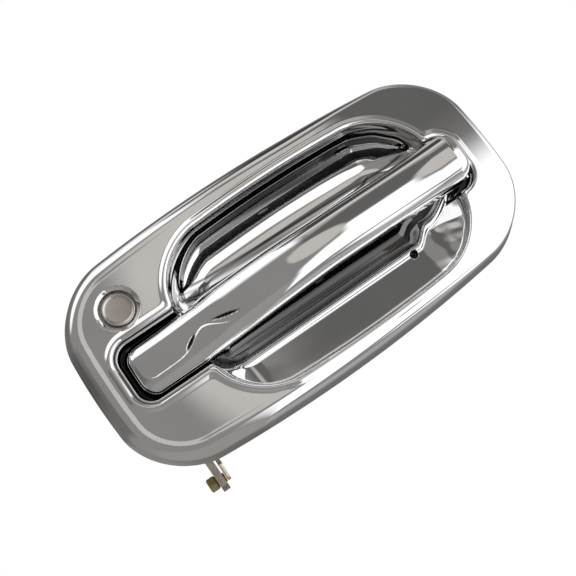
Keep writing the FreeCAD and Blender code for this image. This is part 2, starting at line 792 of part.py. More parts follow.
def lock_pawl():
    """Lever on the lock plug's square tail, with a hole for the lock rod."""
    body = new_body("lock_pawl")
    centre = (size("lock_x"), size("lock_z"))
    tip = (centre[0] + size("pawl_arm"), centre[1])
    tail = size("tail_half") + size("bush_seat")
    lever = link_outline(centre, size("pawl_hub_radius"), tip, size("pawl_tip_radius"))
    low, high = "0 - lock_plug_back - play * 2 - pawl_plate", "0 - lock_plug_back - play * 2"
    pad(body, "XZ_Plane", lever, low, high)
    square = box_outline(centre[0] - tail, centre[0] + tail, centre[1] - tail, centre[1] + tail)
    pocket(body, "XZ_Plane", square, low, high)
    pocket(body, "XZ_Plane", circle(*tip, size("rod_radius")), low, high)
    return body


def lock_plug():
    """Round plug with a keyway and a square tail."""
    body = new_body("lock_plug")
    x, z = size("lock_x"), size("lock_z")
    half, keyway = size("tail_half"), size("keyway_width") / 2
    rise = size("keyway_height") / 2
    pad(body, "XZ_Plane", circle(x, z, size("lock_plug_radius")), "0 - lock_plug_back", "lock_cap_back")
    pad(body, "XZ_Plane", box_outline(x - half, x + half, z - half, z + half),
        "0 - lock_plug_back - pawl_plate", "0 - lock_plug_back")
    pocket(body, "XZ_Plane", box_outline(x - keyway, x + keyway, z - rise, z + rise),
           "0 - keyway_depth", "lock_cap_back")
    pocket(body, "XZ_Plane", circle(x, z, size("pawl_screw_radius") + size("bush_seat")),
           "0 - lock_plug_back - pawl_plate", "0 - lock_plug_back - pawl_plate + pawl_screw_length + 1")
    return body


def headed_pin(label, axis, radius, head_radius, place, length, forward=True):
    """A pin with a round head. place is where they meet; the shank runs along the axis, or back along it."""
    shank_start = dict(zip("xyz", place))
    head_start = dict(shank_start)
    if forward:
        head_start[axis] = f"{head_start[axis]} - pin_head"
    else:
        shank_start[axis] = f"{shank_start[axis]} - ( {length} )"
    shank = rod(label + "_shank", axis, radius, *shank_start.values(), length)
    head = rod(label + "_head", axis, head_radius, *head_start.values(), "pin_head")
    return fuse(label, shank, head)


def grip_pivot_pin():
    """Headed pin through the frame ears and the grip ears."""
    return headed_pin("grip_pivot_pin", "z", "pin_radius", "pin_head_radius",
                      ("pivot_x", "pivot_y", "grip_z - frame_ear_outer"),
                      "frame_ear_outer * 2 + clip_thickness * 2")


def pivot_pin_clip():
    """Retaining ring on the top of the grip's pin."""
    return ring("pivot_pin_clip", "z", "pin_head_radius", "pin_radius + bush_seat",
                "pivot_x", "pivot_y", "grip_z + frame_ear_outer + play", "clip_thickness")


def pivot_bushes():
    """A bush in each ear of the grip."""
    lows = ("grip_z - grip_ear_outer", "grip_z + grip_ear_inner")
    return group("pivot_bushes", *(
        ring(f"pivot_bush_{index}", "z", "bush_radius", "pin_radius + play", "pivot_x", "pivot_y", low,
             "grip_ear_outer - grip_ear_inner")
        for index, low in enumerate(lows)))


def bell_crank_pin():
    """Headed pin through the frame ears and the bell crank."""
    return headed_pin("bell_crank_pin", "x", "pin_radius", "pin_head_radius",
                      (f"crank_hub_start - ( {CRANK_EAR} )", "crank_y", "crank_z"),
                      f"crank_hub_end - crank_hub_start + ( {CRANK_EAR} ) * 2 + clip_thickness * 2")


def crank_pin_clip():
    """Retaining ring on the end of the bell crank's pin."""
    return ring("crank_pin_clip", "x", "pin_head_radius", "pin_radius + bush_seat",
                f"crank_hub_end + {CRANK_EAR} + play", "crank_y", "crank_z", "clip_thickness")


def crank_bush():
    """Long bush inside the bell crank's hub."""
    return ring("crank_bush", "x", "bush_radius", "pin_radius + play",
                "crank_hub_start", "crank_y", "crank_z", "crank_hub_end - crank_hub_start")


def frame_screws():
    """Screws from behind the frame plate into the bezel's bosses."""
    return group("frame_screws", *(
        headed_pin(f"frame_screw_{index}", "y", "screw_radius", "screw_head_radius",
                   (f"{x}", "0 - seal_thickness", f"{z}"), "frame_screw_length", forward=False)
        for index, (x, z) in enumerate(SCREW_SPOTS)))


def grip_screws():
    """Screws from behind the grip into the bosses of its shell."""
    return group("grip_screws", *(
        headed_pin(f"grip_screw_{index}", "y", "screw_radius", "screw_head_radius",
                   (f"{x}", f"{-back_height(x)} - grip_screw_seat", "grip_z"),
                   "grip_screw_length", forward=False)
        for index, x in enumerate(GRIP_SCREW_SPOTS)))


def mounting_studs():
    """Two studs that pass through the door skin, each with a thick root in the frame plate and a flange."""
    front = "0 - plate_front - stud_flange"
    studs = []
    for side in ("left", "right"):
        x, z = f"stud_{side}_x", f"stud_{side}_z"
        flange = rod(f"stud_{side}_flange", "y", "stud_flange_radius", x, front, z, "stud_flange")
        root = rod(f"stud_{side}_root", "y", "stud_root_radius", x, front, z,
                   "plate_front + stud_flange - seal_thickness")
        shank = rod(f"stud_{side}_shank", "y", "stud_radius", x, front, z,
                    "stud_length + plate_front + stud_flange")
        studs.append(fuse(f"stud_{side}", flange, root, shank))
    return group("mounting_studs", *studs)


def grip_bumpers():
    """Two rubber buttons in the left tray that the closed grip rests on."""
    return group("grip_bumpers", *(
        rod(f"bumper_{index}", "y", "bumper_radius", "bumper_x", "play - grip_back",
            f"grip_z {sign} bumper_spread", "grip_back - pocket_floor - play")
        for index, sign in enumerate("+-")))


def lock_barrel():
    """Lock housing: a tube with a flange that rests on the front of the frame plate."""
    tube = rod("barrel_tube", "y", "lock_barrel_radius", "lock_x", "0 - lock_barrel_front", "lock_z",
               "lock_barrel_front + lock_barrel_back")
    flange = rod("barrel_flange", "y", "lock_flange_radius", "lock_x", "0 - plate_front - lock_flange",
                 "lock_z", "lock_flange")
    bore = rod("barrel_bore", "y", "lock_plug_radius + play", "lock_x", "0 - lock_barrel_front - 1",
               "lock_z", "lock_barrel_front + lock_barrel_back + 2")
    return cut("lock_barrel", fuse("barrel_body", tube, flange), bore)


def lock_retainer():
    """Spring washer behind the frame plate, open on one side so that it slides on."""
    washer = ring("retainer_ring", "y", "lock_flange_radius + retainer_rim", "lock_barrel_radius + play",
                  "lock_x", "0 - seal_thickness", "lock_z", "seal_thickness - play")
    mouth = block("retainer_mouth", "lock_x - retainer_mouth / 2", "0 - seal_thickness - 1", "lock_z",
                  "retainer_mouth", "seal_thickness + 2", "lock_flange_radius * 2")
    return cut("lock_retainer", washer, mouth)


def lock_face_cap():
    """Plain disc on the front of the lock plug."""
    return rod("lock_face_cap", "y", "lock_cap_radius", "lock_x", "0 - lock_cap_front", "lock_z",
               "lock_cap_front - lock_cap_back")


def pawl_screw():
    """Screw that holds the pawl on the plug's tail."""
    return headed_pin("pawl_screw", "y", "pawl_screw_radius", "tail_half + 2",
                      ("lock_x", "lock_plug_back + pawl_plate + play * 3", "lock_z"),
                      "pawl_screw_length", forward=False)


def rod_clip():
    """Swivel clip in the crank's eye, with a vertical hole for the latch rod and a snap head."""
    barrel = rod("clip_barrel", "z", "rod_clip_radius", "rod_clip_x", "output_y",
                 "output_z - rod_clip_radius", "rod_clip_radius * 2")
    journal = rod("clip_journal", "x", "eye_radius", "rod_clip_x", "output_y", "output_z",
                  "rod_clip_end - rod_clip_x")
    head = rod("clip_head", "x", "eye_radius + 1", "output_arm_x + crank_plate / 2 + play * 4", "output_y",
               "output_z", "rod_clip_end - output_arm_x - crank_plate / 2 - play * 4")
    bore = rod("clip_bore", "z", "rod_radius", "rod_clip_x", "output_y", "output_z - rod_clip_radius - 1",
               "rod_clip_radius * 2 + 2")
    return cut("rod_clip", fuse("clip_solid", barrel, journal, head), bore)


def coil(label, axis, centre, radius, length, turns, reaches):
    """A torsion spring: round wire swept along a helix about an axis, with a straight leg at each end."""
    wire = size("wire_radius")
    steps = int(turns * COIL_POINTS)
    path = [V(radius, -reaches[0], 0), V(radius, -reaches[0] / 2, 0)]
    for step in range(steps + 1):
        angle = 2 * math.pi * turns * step / steps
        path.append(V(radius * math.cos(angle), radius * math.sin(angle), length * step / steps))
    path += [V(radius, reaches[1] / 2, length), V(radius, reaches[1], length)]
    curve = Part.BSplineCurve()
    curve.interpolate(path)
    profile = Part.Wire([Part.makeCircle(wire, path[0], V(0, 1, 0))])
    feature = doc.addObject("Part::Feature", label)
    feature.Shape = Part.Wire([curve.toShape()]).makePipeShell([profile], True, True)
    feature.Placement = FreeCAD.Placement(centre, FreeCAD.Rotation(V(0, 0, 1), AXES[axis]))
    return feature


def grip_spring():
    """Torsion spring round the grip's pin, between the grip's ears."""
    length = size("grip_coil_length")
    low = V(size("pivot_x"), size("pivot_y"), size("grip_z") - length / 2)
    return coil("grip_spring", "z", low, size("grip_coil_radius"), length, size("grip_coil_turns"),
                (size("grip_coil_low_leg"), size("grip_coil_high_leg")))


def crank_spring():
    """Torsion spring round the bell crank's hub."""
    low = V(size("crank_coil_start"), size("crank_y"), size("crank_z"))
    return coil("crank_spring", "x", low, size("crank_coil_radius"), size("crank_coil_length"),
                size("crank_coil_turns"), (size("crank_coil_leg"), size("crank_coil_leg")))


NODES = [
    bezel, recess_cup, rear_frame, door_seal, mounting_studs, frame_screws, grip_bumpers,
    grip_shell, grip_carrier, grip_screws, pivot_bushes, grip_pivot_pin, pivot_pin_clip, grip_spring,
    bell_crank, crank_bush, bell_crank_pin, crank_pin_clip, crank_spring, rod_clip,
    lock_barrel, lock_retainer, lock_plug, lock_face_cap, lock_pawl, pawl_screw,
]

nodes = [make() for make in NODES]
doc.recompute()

for item in doc.Objects:
    if "Invalid" in item.State or "Error" in item.State:
        raise RuntimeError(f"{item.Label} did not compute: {item.State}")
for node in nodes:
    if node.Shape.isNull() or not node.Shape.isValid() or not node.Shape.Solids:
        raise RuntimeError(f"{node.Label} has no valid solid")

os.makedirs(OUT_DIR, exist_ok=True)
for node in nodes:
    node.Shape.exportStep(os.path.join(OUT_DIR, f"{node.Label}.step"))
    print(node.Label, len(node.Shape.Solids), round(node.Shape.Volume))
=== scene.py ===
"""The looks of a chrome outside door handle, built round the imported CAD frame.

The chrome pieces are smooth fields: each shape is a function that is negative inside the metal, and a
surface net turns it into a mesh with exact normals. The fields work in millimetres, on x (along the
handle), z (up) and a height that is measured outwards from the door skin, so height = -y.
"""
import json
import math

import bpy
import numpy as np
from mathutils import Matrix, Vector


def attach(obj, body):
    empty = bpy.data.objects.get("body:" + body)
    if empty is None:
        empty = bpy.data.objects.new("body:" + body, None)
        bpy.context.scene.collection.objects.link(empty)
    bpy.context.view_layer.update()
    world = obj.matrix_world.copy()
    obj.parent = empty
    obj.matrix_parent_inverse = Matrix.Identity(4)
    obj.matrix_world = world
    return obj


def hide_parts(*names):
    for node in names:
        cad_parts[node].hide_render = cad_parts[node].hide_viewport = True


MM = 0.001
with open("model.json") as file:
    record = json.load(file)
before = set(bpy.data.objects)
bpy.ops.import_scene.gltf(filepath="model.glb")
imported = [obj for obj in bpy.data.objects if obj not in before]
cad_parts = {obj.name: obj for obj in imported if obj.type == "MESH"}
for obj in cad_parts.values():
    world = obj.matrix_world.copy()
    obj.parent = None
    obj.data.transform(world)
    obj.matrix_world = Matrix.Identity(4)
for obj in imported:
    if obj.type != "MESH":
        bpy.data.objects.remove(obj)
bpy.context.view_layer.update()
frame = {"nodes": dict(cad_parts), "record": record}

# ---------------------------------------------------------------- shared sizes, in millimetres

# outlines from the front: half sizes, corner radius, bow of the long sides and of the ends, and how
# far left of the centre the long sides are fullest
BEZEL = dict(centre=(0, 0), half=(108, 55), corner=28.5, bow=(8.2, 5.3), shift=11)
RECESS = dict(centre=(11.5, -1.8), half=(68.5, 42), corner=24, bow=(4, 4), shift=4)
# the pockets for the grip's ends, centred on the grip's line
LEFT_POCKET = dict(low=-92, high=0, half=15.6, corner=9)
RIGHT_POCKET = dict(low=20, high=91, half=14.6, corner=9)
POCKET_BLEND = 2.4
GRIP_Z = -2.5
LOCK = (-77.2, 26.7)
DRAIN = (46.5, -27)

# heights of the bezel's foot and face, of the cup's rim, trays and deepest floor
SEAT = 1.6
FACE = 14.4
CEILING = 11.6
SHELF = 6.6
BOWL_FLOOR = -9

# edge radii
CRISP = 0.25
EASED = 0.3
SOFT = 0.5


# ---------------------------------------------------------------- blends

def soft_min(a, b, reach):
    """The smaller of two fields, with a round fillet where they meet."""
    blend = np.clip(0.5 + 0.5 * (b - a) / reach, 0, 1)
    return b + (a - b) * blend - reach * blend * (1 - blend)


def soft_max(a, b, reach):
    """The larger of two fields, with a round fillet where they meet."""
    return -soft_min(-a, -b, reach)


def round_max(a, b, radius):
    """Where two fields overlap, with a round edge of that radius."""
    corner = np.hypot(np.maximum(a + radius, 0), np.maximum(b + radius, 0))
    return np.minimum(-radius, np.maximum(a, b)) + corner


def step_up(value, start, end):
    """0 before start, 1 after end, and smooth between."""
    share = np.clip((value - start) / (end - start), 0, 1)
    return share * share * (3 - 2 * share)


def step_down(value, start, end):
    """1 before start, 0 after end, and smooth between."""
    return step_up(-value, -end, -start)


# ---------------------------------------------------------------- outlines

def bowed(x, z, outline):
    """Distance outside a rectangle with bowed sides and round corners."""
    half_x, half_z = outline["half"]
    bow_x, bow_z = outline["bow"]
    x = x - outline["centre"][0]
    z = z - outline["centre"][1]
    long_radius = (half_x ** 2 + bow_x ** 2) / (2 * bow_x)
    end_radius = (half_z ** 2 + bow_z ** 2) / (2 * bow_z)
    long_side = np.hypot(x + outline["shift"], np.abs(z) + long_radius - half_z) - long_radius
    end_side = np.hypot(np.abs(x) + end_radius - half_x, z) - end_radius
    return round_max(long_side, end_side, outline["corner"])


def pocket(x, z, box, shrink=0.0):
    """Distance outside a round-cornered box that is centred on the grip's line."""
    middle = (box["low"] + box["high"]) / 2
    reach = (box["high"] - box["low"]) / 2
    beyond_end = np.abs(x - middle) - reach + shrink
    beyond_side = np.abs(z - GRIP_Z) - box["half"] + shrink
    return round_max(beyond_end, beyond_side, box["corner"] - shrink)


def either_pocket(x, z):
    """Distance outside the nearer of the two pockets."""
    return np.minimum(pocket(x, z, LEFT_POCKET), pocket(x, z, RIGHT_POCKET))


def opening(x, z):
    """Distance outside the bezel's opening: the finger recess and the pocket at each end."""
    return soft_min(bowed(x, z, RECESS), either_pocket(x, z), POCKET_BLEND)


def slot(x, z, centre, half):
    """Distance outside a square-cornered slot."""
    return np.maximum(np.abs(x - centre[0]) - half[0], np.abs(z - centre[1]) - half[1])


# ---------------------------------------------------------------- surface net

CORNERS = np.array([(i, j, k) for i in (0, 1) for j in (0, 1) for k in (0, 1)])
CELL_EDGES = [(a, b) for a in range(8) for b in range(a + 1, 8)
              if np.abs(CORNERS[a] - CORNERS[b]).sum() == 1]
# how the net's points settle on the surface: turns, step for slopes, and least squared slope
SETTLING_TURNS = 4
NUDGE = 0.01
LEAST_SLOPE = 0.04


def surface_net(field, low, high, step):
    """Vertices, outward normals and quads of the surface where a field is zero."""
    axes = [np.arange(a, b + step, step) for a, b in zip(low, high)]
    values = field(axes[0][:, None, None], axes[1][None, :, None], axes[2][None, None, :])
    inside = values < 0
    end_i, end_j, end_k = (count - 1 for count in inside.shape)
    filled = sum(inside[i:end_i + i, j:end_j + j, k:end_k + k].astype(np.int8) for i, j, k in CORNERS)
    cells = np.argwhere((filled > 0) & (filled < len(CORNERS)))
    at_corners = np.stack([values[tuple((cells + corner).T)] for corner in CORNERS], axis=1)
    total = np.zeros((len(cells), 3))
    crossings = np.zeros((len(cells), 1))
    for a, b in CELL_EDGES:
        start, end = at_corners[:, a], at_corners[:, b]
        crossed = (start < 0) != (end < 0)
        share = np.where(crossed, start / np.where(crossed, start - end, 1), 0)[:, None]
        total += np.where(crossed[:, None], CORNERS[a] + share * (CORNERS[b] - CORNERS[a]), 0)
        crossings += crossed[:, None]
    points = np.array(low) + step * (cells + total / crossings)
    number = np.full(filled.shape, -1, np.int64)
    number[tuple(cells.T)] = np.arange(len(cells))
    points, normals = settle(field, points, step)
    return points, normals, net_quads(inside, number)


def net_quads(inside, number):
    """One quad for each grid edge that the surface crosses."""
    quads = []
    for axis in range(3):
        u, v = (axis + 1) % 3, (axis + 2) % 3
        here = np.take(inside, range(inside.shape[axis] - 1), axis)
        there = np.take(inside, range(1, inside.shape[axis]), axis)
        found = np.argwhere(here != there)
        found = found[(found[:, u] > 0) & (found[:, v] > 0)
                      & (found[:, u] < inside.shape[u] - 1) & (found[:, v] < inside.shape[v] - 1)]
        ring = []
        for du, dv in ((0, 0), (-1, 0), (-1, -1), (0, -1)):
            cell = found.copy()
            cell[:, u] += du
            cell[:, v] += dv
            ring.append(number[tuple(cell.T)])
        ring = np.stack(ring, axis=1)
        outward = here[tuple(found.T)]
        ring[~outward] = ring[~outward][:, ::-1]
        quads.append(ring)
    return np.concatenate(quads)


def slope_at(field, points):
    """How fast a field grows along each axis at some points."""
    rises = [field(*(points + NUDGE * direction).T) - field(*(points - NUDGE * direction).T)
             for direction in np.eye(3)]
    return np.stack(rises, axis=1) / (2 * NUDGE)


def settle(field, points, step):
    """Moves points onto the surface, by half a step at most each turn: returns them and their normals."""
    for _ in range(SETTLING_TURNS):
        slope = slope_at(field, points)
        steep = np.maximum((slope ** 2).sum(1), LEAST_SLOPE)
        move = np.clip(field(*points.T) / steep, -step / 2, step / 2)
        points = points - move[:, None] * slope
    slope = slope_at(field, points)
    return points, slope / np.sqrt((slope ** 2).sum(1))[:, None]


# ---------------------------------------------------------------- meshes

def placed(name, mesh):
    """A new object in the scene that shows a mesh."""
    piece = bpy.data.objects.new(name, mesh)
    bpy.context.scene.collection.objects.link(piece)
    return piece


def to_frame(vectors):
    """From (x, z, height) to the frame's (x, y, z)."""
    return np.stack([vectors[:, 0], -vectors[:, 2], vectors[:, 1]], axis=1)


def field_piece(name, field, low, high, step):
    """A mesh object made from a field, inside a box from low to high in (x, z, height)."""
    points, normals, quads = surface_net(field, low, high, step)
    mesh = bpy.data.meshes.new(name)
    mesh.vertices.add(len(points))
    mesh.vertices.foreach_set("co", (to_frame(points) * MM).astype(np.float32).ravel())
    mesh.loops.add(quads.size)
    mesh.loops.foreach_set("vertex_index", quads.ravel().astype(np.int32))
    mesh.polygons.add(len(quads))
    mesh.polygons.foreach_set("loop_start", np.arange(0, quads.size, 4, dtype=np.int32))
    mesh.polygons.foreach_set("use_smooth", np.ones(len(quads), bool))
    mesh.update(calc_edges=True)
    mesh.validate()
    mesh.normals_split_custom_set_from_vertices(to_frame(normals).tolist())
    return placed(name, mesh)


TURN_SIDES = 96


def turned_piece(name, profile, centre):
    """A mesh turned about an axis along Y, from (radius, height) points in millimetres."""
    verts, faces = [], []
    for radius, height in profile:
        for side in range(TURN_SIDES):
            angle = 2 * math.pi * side / TURN_SIDES
            verts.append(((centre[0] + radius * math.cos(angle)) * MM, -height * MM,
                          (centre[1] + radius * math.sin(angle)) * MM))
    for row in range(len(profile) - 1):
        first = row * TURN_SIDES
        for side in range(TURN_SIDES):
            following = (side + 1) % TURN_SIDES
            faces.append((first + side, first + following,
                          first + TURN_SIDES + following, first + TURN_SIDES + side))
    faces.append(tuple(reversed(range(TURN_SIDES))))
    faces.append(tuple(range((len(profile) - 1) * TURN_SIDES, len(profile) * TURN_SIDES)))
    mesh = bpy.data.meshes.new(name)
    mesh.from_pydata(verts, [], faces)
    mesh.update()
    for polygon in mesh.polygons:
        polygon.use_smooth = len(polygon.vertices) == 4
    return placed(name, mesh)


ROUND_OVER_STEPS = 3
ROUND_OVER_ANGLE = math.radians(40)


def plate_piece(name, outline, low, high, round_over):
    """A plate cut to an outline of (y, z) points, from x = low to x = high, with rounded edges."""
    count = len(outline)
    verts = [(x * MM, y * MM, z * MM) for x in (low, high) for y, z in outline]
    faces = [tuple(reversed(range(count))), tuple(range(count, 2 * count))]
    faces += [(i, (i + 1) % count, count + (i + 1) % count, count + i) for i in range(count)]
    mesh = bpy.data.meshes.new(name)
    mesh.from_pydata(verts, [], faces)
    mesh.update()
    piece = placed(name, mesh)
    edges = piece.modifiers.new("round_over", "BEVEL")
    edges.width = round_over * MM
    edges.segments = ROUND_OVER_STEPS
    edges.limit_method = "ANGLE"
    edges.angle_limit = ROUND_OVER_ANGLE
    return piece


END_STEPS = 16


def rounded_bar(start, end, start_radius, end_radius):
    """Outline of a bar with a round end at each of two (y, z) points."""
    heading = math.atan2(end[1] - start[1], end[0] - start[0])
    points = []
    for centre, radius, turn in ((start, start_radius, math.pi / 2), (end, end_radius, -math.pi / 2)):
        for k in range(END_STEPS + 1):
            angle = heading + turn + math.pi * k / END_STEPS
            points.append((centre[0] + radius * math.cos(angle), centre[1] + radius * math.sin(angle)))
    return points


# ---------------------------------------------------------------- bezel

# how far the crowned face falls by its ends and by its long sides
END_FALL = 0.9
SIDE_FALL = 0.7
# faint step down inside the border: its depth, its band inside the edge, and where it fades out in x
STEP_DROP = 0.28
STEP_BAND = (8.7, 10.9)
STEP_FADE = (-40, 20)
# the side steps in above the foot, and leans in
FOOT_STEP = 1.6
FOOT_BAND = (1.4, 5.0)
SIDE_LEAN = 0.02
# radius of the rolled border, and how much tighter it gets towards the right end
ROLL = 6.2
ROLL_LOSS = 3.4
ROLL_FADE = (20, 85)
# raised bead round the opening
BEAD = 1.9
BEAD_SINK = 1.1
BEAD_BLEND = 1.0
KEY_HOLE = 8.4
KEY_CHAMFER = 1.7
# hollow behind: thickness of the wall, clearance over the cup's rim, and radius of the inner corner
BEZEL_WALL = 3.6
RIM_CLEARANCE = 0.06
HOLLOW_CORNER = 4.0


def bezel_field(x, z, height):
    """Surround with a stepped foot, a rolled border, a bead round the opening and a chamfered key hole."""
    edge = bowed(x, z, BEZEL)
    side = edge + FOOT_STEP * step_up(height, *FOOT_BAND) + SIDE_LEAN * height
    crown = FACE - END_FALL * (x / BEZEL["half"][0]) ** 2 - SIDE_FALL * (z / BEZEL["half"][1]) ** 2
    top = crown - STEP_DROP * step_up(-edge, *STEP_BAND) * step_down(x, *STEP_FADE)
    body = round_max(side, height - top, ROLL - ROLL_LOSS * step_up(x, *ROLL_FADE))
    gap = opening(x, z)
    bead = np.hypot(gap - BEAD, np.maximum(height - top + BEAD_SINK, 0)) - BEAD
    body = soft_min(np.maximum(body, BEAD - gap), bead, BEAD_BLEND)
    from_lock = np.hypot(x - LOCK[0], z - LOCK[1])
    chamfer = np.maximum(height - (top - KEY_CHAMFER), 0)
    body = round_max(body, KEY_HOLE - from_lock + chamfer, CRISP)
    hollow = round_max(edge + BEZEL_WALL, height - CEILING - RIM_CLEARANCE, HOLLOW_CORNER)
    body = soft_max(body, -hollow, SOFT)
    return round_max(body, SEAT - height, EASED)


# ---------------------------------------------------------------- recess cup

# how far the cup's mouth lies outside the bezel's opening, hidden under the bead
MOUTH_GAP = 1.0
# lower edge of the bowl, and its climbs near the right end: rise, and start and end in x
RAMP_EDGE = -25
RAMP_CLIMBS = ((6, 50, 60), (6, 60, 78))
BOWL_CORNER = 12
BOWL_LEAN = 0.15
BOWL_FILLET = 17
# the bowl's floor rises towards the grip's line, from this far above it
RISE_REACH = 26
RISE_SPREAD = 44
RISE_HEIGHT = 3.0
RISE_BLEND = 1.5
RISE_FADE = (-14, 4)
# ramp below the bowl: its drop from the trays, slope, upturn at its left end, corner and upper limit
RAMP_DROP = 0.6
RAMP_SLOPE = 0.2
UPTURN_START = -38
UPTURN_RATE = 0.02
RAMP_CORNER = 2.5
RAMP_LIMIT = -8
RAMP_BLEND = 2.0
# rounded lip between the bowl and the ramp
LIP_RADIUS = 1.7
LIP_OUT = 0.4
LIP_SINK = 0.9
LIP_LIMIT = -12
LIP_BLEND = 0.8
# trays under the grip's ends
TRAY_CORNER = 1.0
LEFT_TRAY_SHRINK = 1.4
LEFT_TRAY_END = -50
RIGHT_TRAY_SHRINK = 0.8
RIGHT_TRAY_START = 74
# press ripples: height, where they grow in x, and each wave's turn per millimetre of x and z and phase
RIPPLE_HEIGHT = 0.24
RIPPLE_FADE = (42, 74)
RIPPLES = ((0.34, 0.24, 0.0), (-0.12, 0.31, 1.0))
# skin, flange under the bezel, drain with its boss, and slots for the grip's ears and hook
CUP_SKIN = 1.8
FLANGE_WIDTH = 4.2
FLANGE_MIDDLE = 10.65
FLANGE_HALF = 0.95
FLANGE_CORNER = 0.4
FLANGE_BLEND = 0.8
MOUTH_EDGE = 0.35
BOSS_RADIUS = 3.6
BOSS_LOW = 0.4
BOSS_HIGH = 6
DRAIN_RADIUS = 1.9
DRAIN_BOTTOM = 2.2
DRAIN_CORNER = 0.2
EAR_SLOT = dict(centre=(86.2, GRIP_Z), half=(5.8, 9.2))
HOOK_SLOT = dict(centre=(-75.1, 0), half=(4.9, 5.2))


def bowl_outline(x, z):
    """Distance outside the deep part of the finger recess, which ends at the ramp's inner edge below."""
    edge = RAMP_EDGE + sum(rise * step_up(x, start, end) for rise, start, end in RAMP_CLIMBS)
    return round_max(bowed(x, z, RECESS) - MOUTH_GAP, edge - z, BOWL_CORNER)


def ripples(x, z):
    """Slight waves left by the press, which grow towards the recess's right end."""
    height = RIPPLE_HEIGHT * step_up(x, *RIPPLE_FADE)
    for along_x, along_z, phase in RIPPLES:
        height = height * np.sin(along_x * x + along_z * z + phase)
    return height


def bowl_space(x, z, height):
    """The deep bowl, with a leaning wall, a round bottom and a floor that rises towards the grip's line."""
    across = z - GRIP_Z
    rise = np.maximum(RISE_REACH - across, 0) ** 2 / RISE_SPREAD
    rise = soft_min(rise, RISE_HEIGHT, RISE_BLEND) * step_up(across, *RISE_FADE)
    wall = bowl_outline(x, z) + BOWL_LEAN * (CEILING - height)
    return round_max(wall, rise + BOWL_FLOOR - height, BOWL_FILLET)


def ramp_space(x, z, height):
    """The shallow ramp below the bowl, which turns up at its left end."""
    upturn = UPTURN_RATE * np.maximum(UPTURN_START - x, 0) ** 2
    floor = SHELF - RAMP_DROP + RAMP_SLOPE * np.maximum(bowl_outline(x, z), 0) + upturn
    space = round_max(bowed(x, z, RECESS) - MOUTH_GAP, floor - height, RAMP_CORNER)
    return np.maximum(space, z - RAMP_LIMIT)


def cup_space(x, z, height):
    """The open space in front of the cup's metal: the bowl, the ramp with its lip, and the two trays."""
    space = soft_min(bowl_space(x, z, height), ramp_space(x, z, height), RAMP_BLEND)
    lip = np.hypot(bowl_outline(x, z) - LIP_OUT, height - SHELF + LIP_SINK) - LIP_RADIUS
    space = soft_max(space, -np.maximum(lip, z - LIP_LIMIT), LIP_BLEND) + ripples(x, z)
    left_tray = round_max(pocket(x, z, LEFT_POCKET, LEFT_TRAY_SHRINK), SHELF - height, TRAY_CORNER)
    left_tray = np.maximum(left_tray, x - LEFT_TRAY_END)
    right_tray = round_max(pocket(x, z, RIGHT_POCKET, RIGHT_TRAY_SHRINK), SHELF - height, TRAY_CORNER)
    right_tray = np.maximum(right_tray, RIGHT_TRAY_START - x)
    return soft_min(space, np.minimum(left_tray, right_tray), TRAY_CORNER)


def cup_field(x, z, height):
    """Cup: a skin of even thickness round its space, with a flange and a blind drain hole in a boss."""
    space = cup_space(x, z, height)
    mouth = np.minimum(bowed(x, z, RECESS), opening(x, z))
    flange = round_max(mouth - FLANGE_WIDTH, np.abs(height - FLANGE_MIDDLE) - FLANGE_HALF, FLANGE_CORNER)
    body = soft_min(space - CUP_SKIN, flange, FLANGE_BLEND)
    from_drain = np.hypot(x - DRAIN[0], z - DRAIN[1])
    boss = round_max(from_drain - BOSS_RADIUS, np.maximum(BOSS_LOW - height, height - BOSS_HIGH), EASED)
    body = round_max(np.minimum(body, boss), height - CEILING, EASED)
    body = round_max(body, -space, MOUTH_EDGE)
    drain = round_max(from_drain - DRAIN_RADIUS, DRAIN_BOTTOM - height, DRAIN_CORNER)
    body = round_max(body, -drain, CRISP)
    slots = np.minimum(slot(x, z, **EAR_SLOT), slot(x, z, **HOOK_SLOT))
    return np.maximum(body, -slots)


# ---------------------------------------------------------------- grip

# ends in x, half widths at the free end and from the waist on, and the power of the taper between
GRIP = dict(left=-89.6, right=87.5, half_left=13.4, half_right=11.4, waist=12)
TAPER_POWER = 1.3
LEFT_CORNER = 8.5
RIGHT_CORNER = 6.5
# arch: its peak, and its curvature to the left and to the right of the peak
PEAK_X = 9.5
PEAK_HEIGHT = 31.2
LEFT_CURVE = 0.0028
RIGHT_CURVE = 0.00158
# flat pad at the free end: a place on it, its height there, its slope, and its blend into the arch
PAD_X = -88
PAD_HEIGHT = 16.8
PAD_SLOPE = 0.08
PAD_BLEND = 5.0
# crown across the grip, flatter on the pad
CROWN_SPREAD = 44
PAD_CROWN_SPREAD = 46
PAD_CROWN_FADE = (-56, -36)
# dished panel on the pad: its left end, its lower edge with a bulge below the neck, and its depth
PANEL_LEFT = -84
PANEL_LOW = -6.4
BULGE_HEIGHT = 6.0
BULGE_X = -52
BULGE_WIDTH = 8
PANEL_CORNER = 5.0
PANEL_EDGE = (-0.6, 0.6)
PANEL_FADE = (-30, -5)
DISH_DEPTH = 0.38
# where the pad rounds over above and to the left, how gently, and where this ends in x
UPPER_START = 5
UPPER_SPREAD = 15
END_START = -80
END_SPREAD = 20
ROUNDING_FADE = (-52, -36)
# leaf-shaped creases beside the neck: middle, half sizes and lean in degrees
CREASES = (((-59.6, -2.9), (4.4, 0.95), 31), ((-40.7, -2.1), (7.0, 0.95), -16))
CREASE_EDGE = (0.6, 1.1)
CREASE_DEPTH = 0.35
# back of the grip: an arch between two flats
BACK_PEAK = 18.5
BACK_X = 12
BACK_SPREAD = 728
BACK_LEAST = 9.6
FRONT_ROUND = 5.5
GRIP_SKIN = 2.2
GRIP_HOLLOW_CORNER = 3.0
GRIP_HOLLOW_BLEND = 0.4


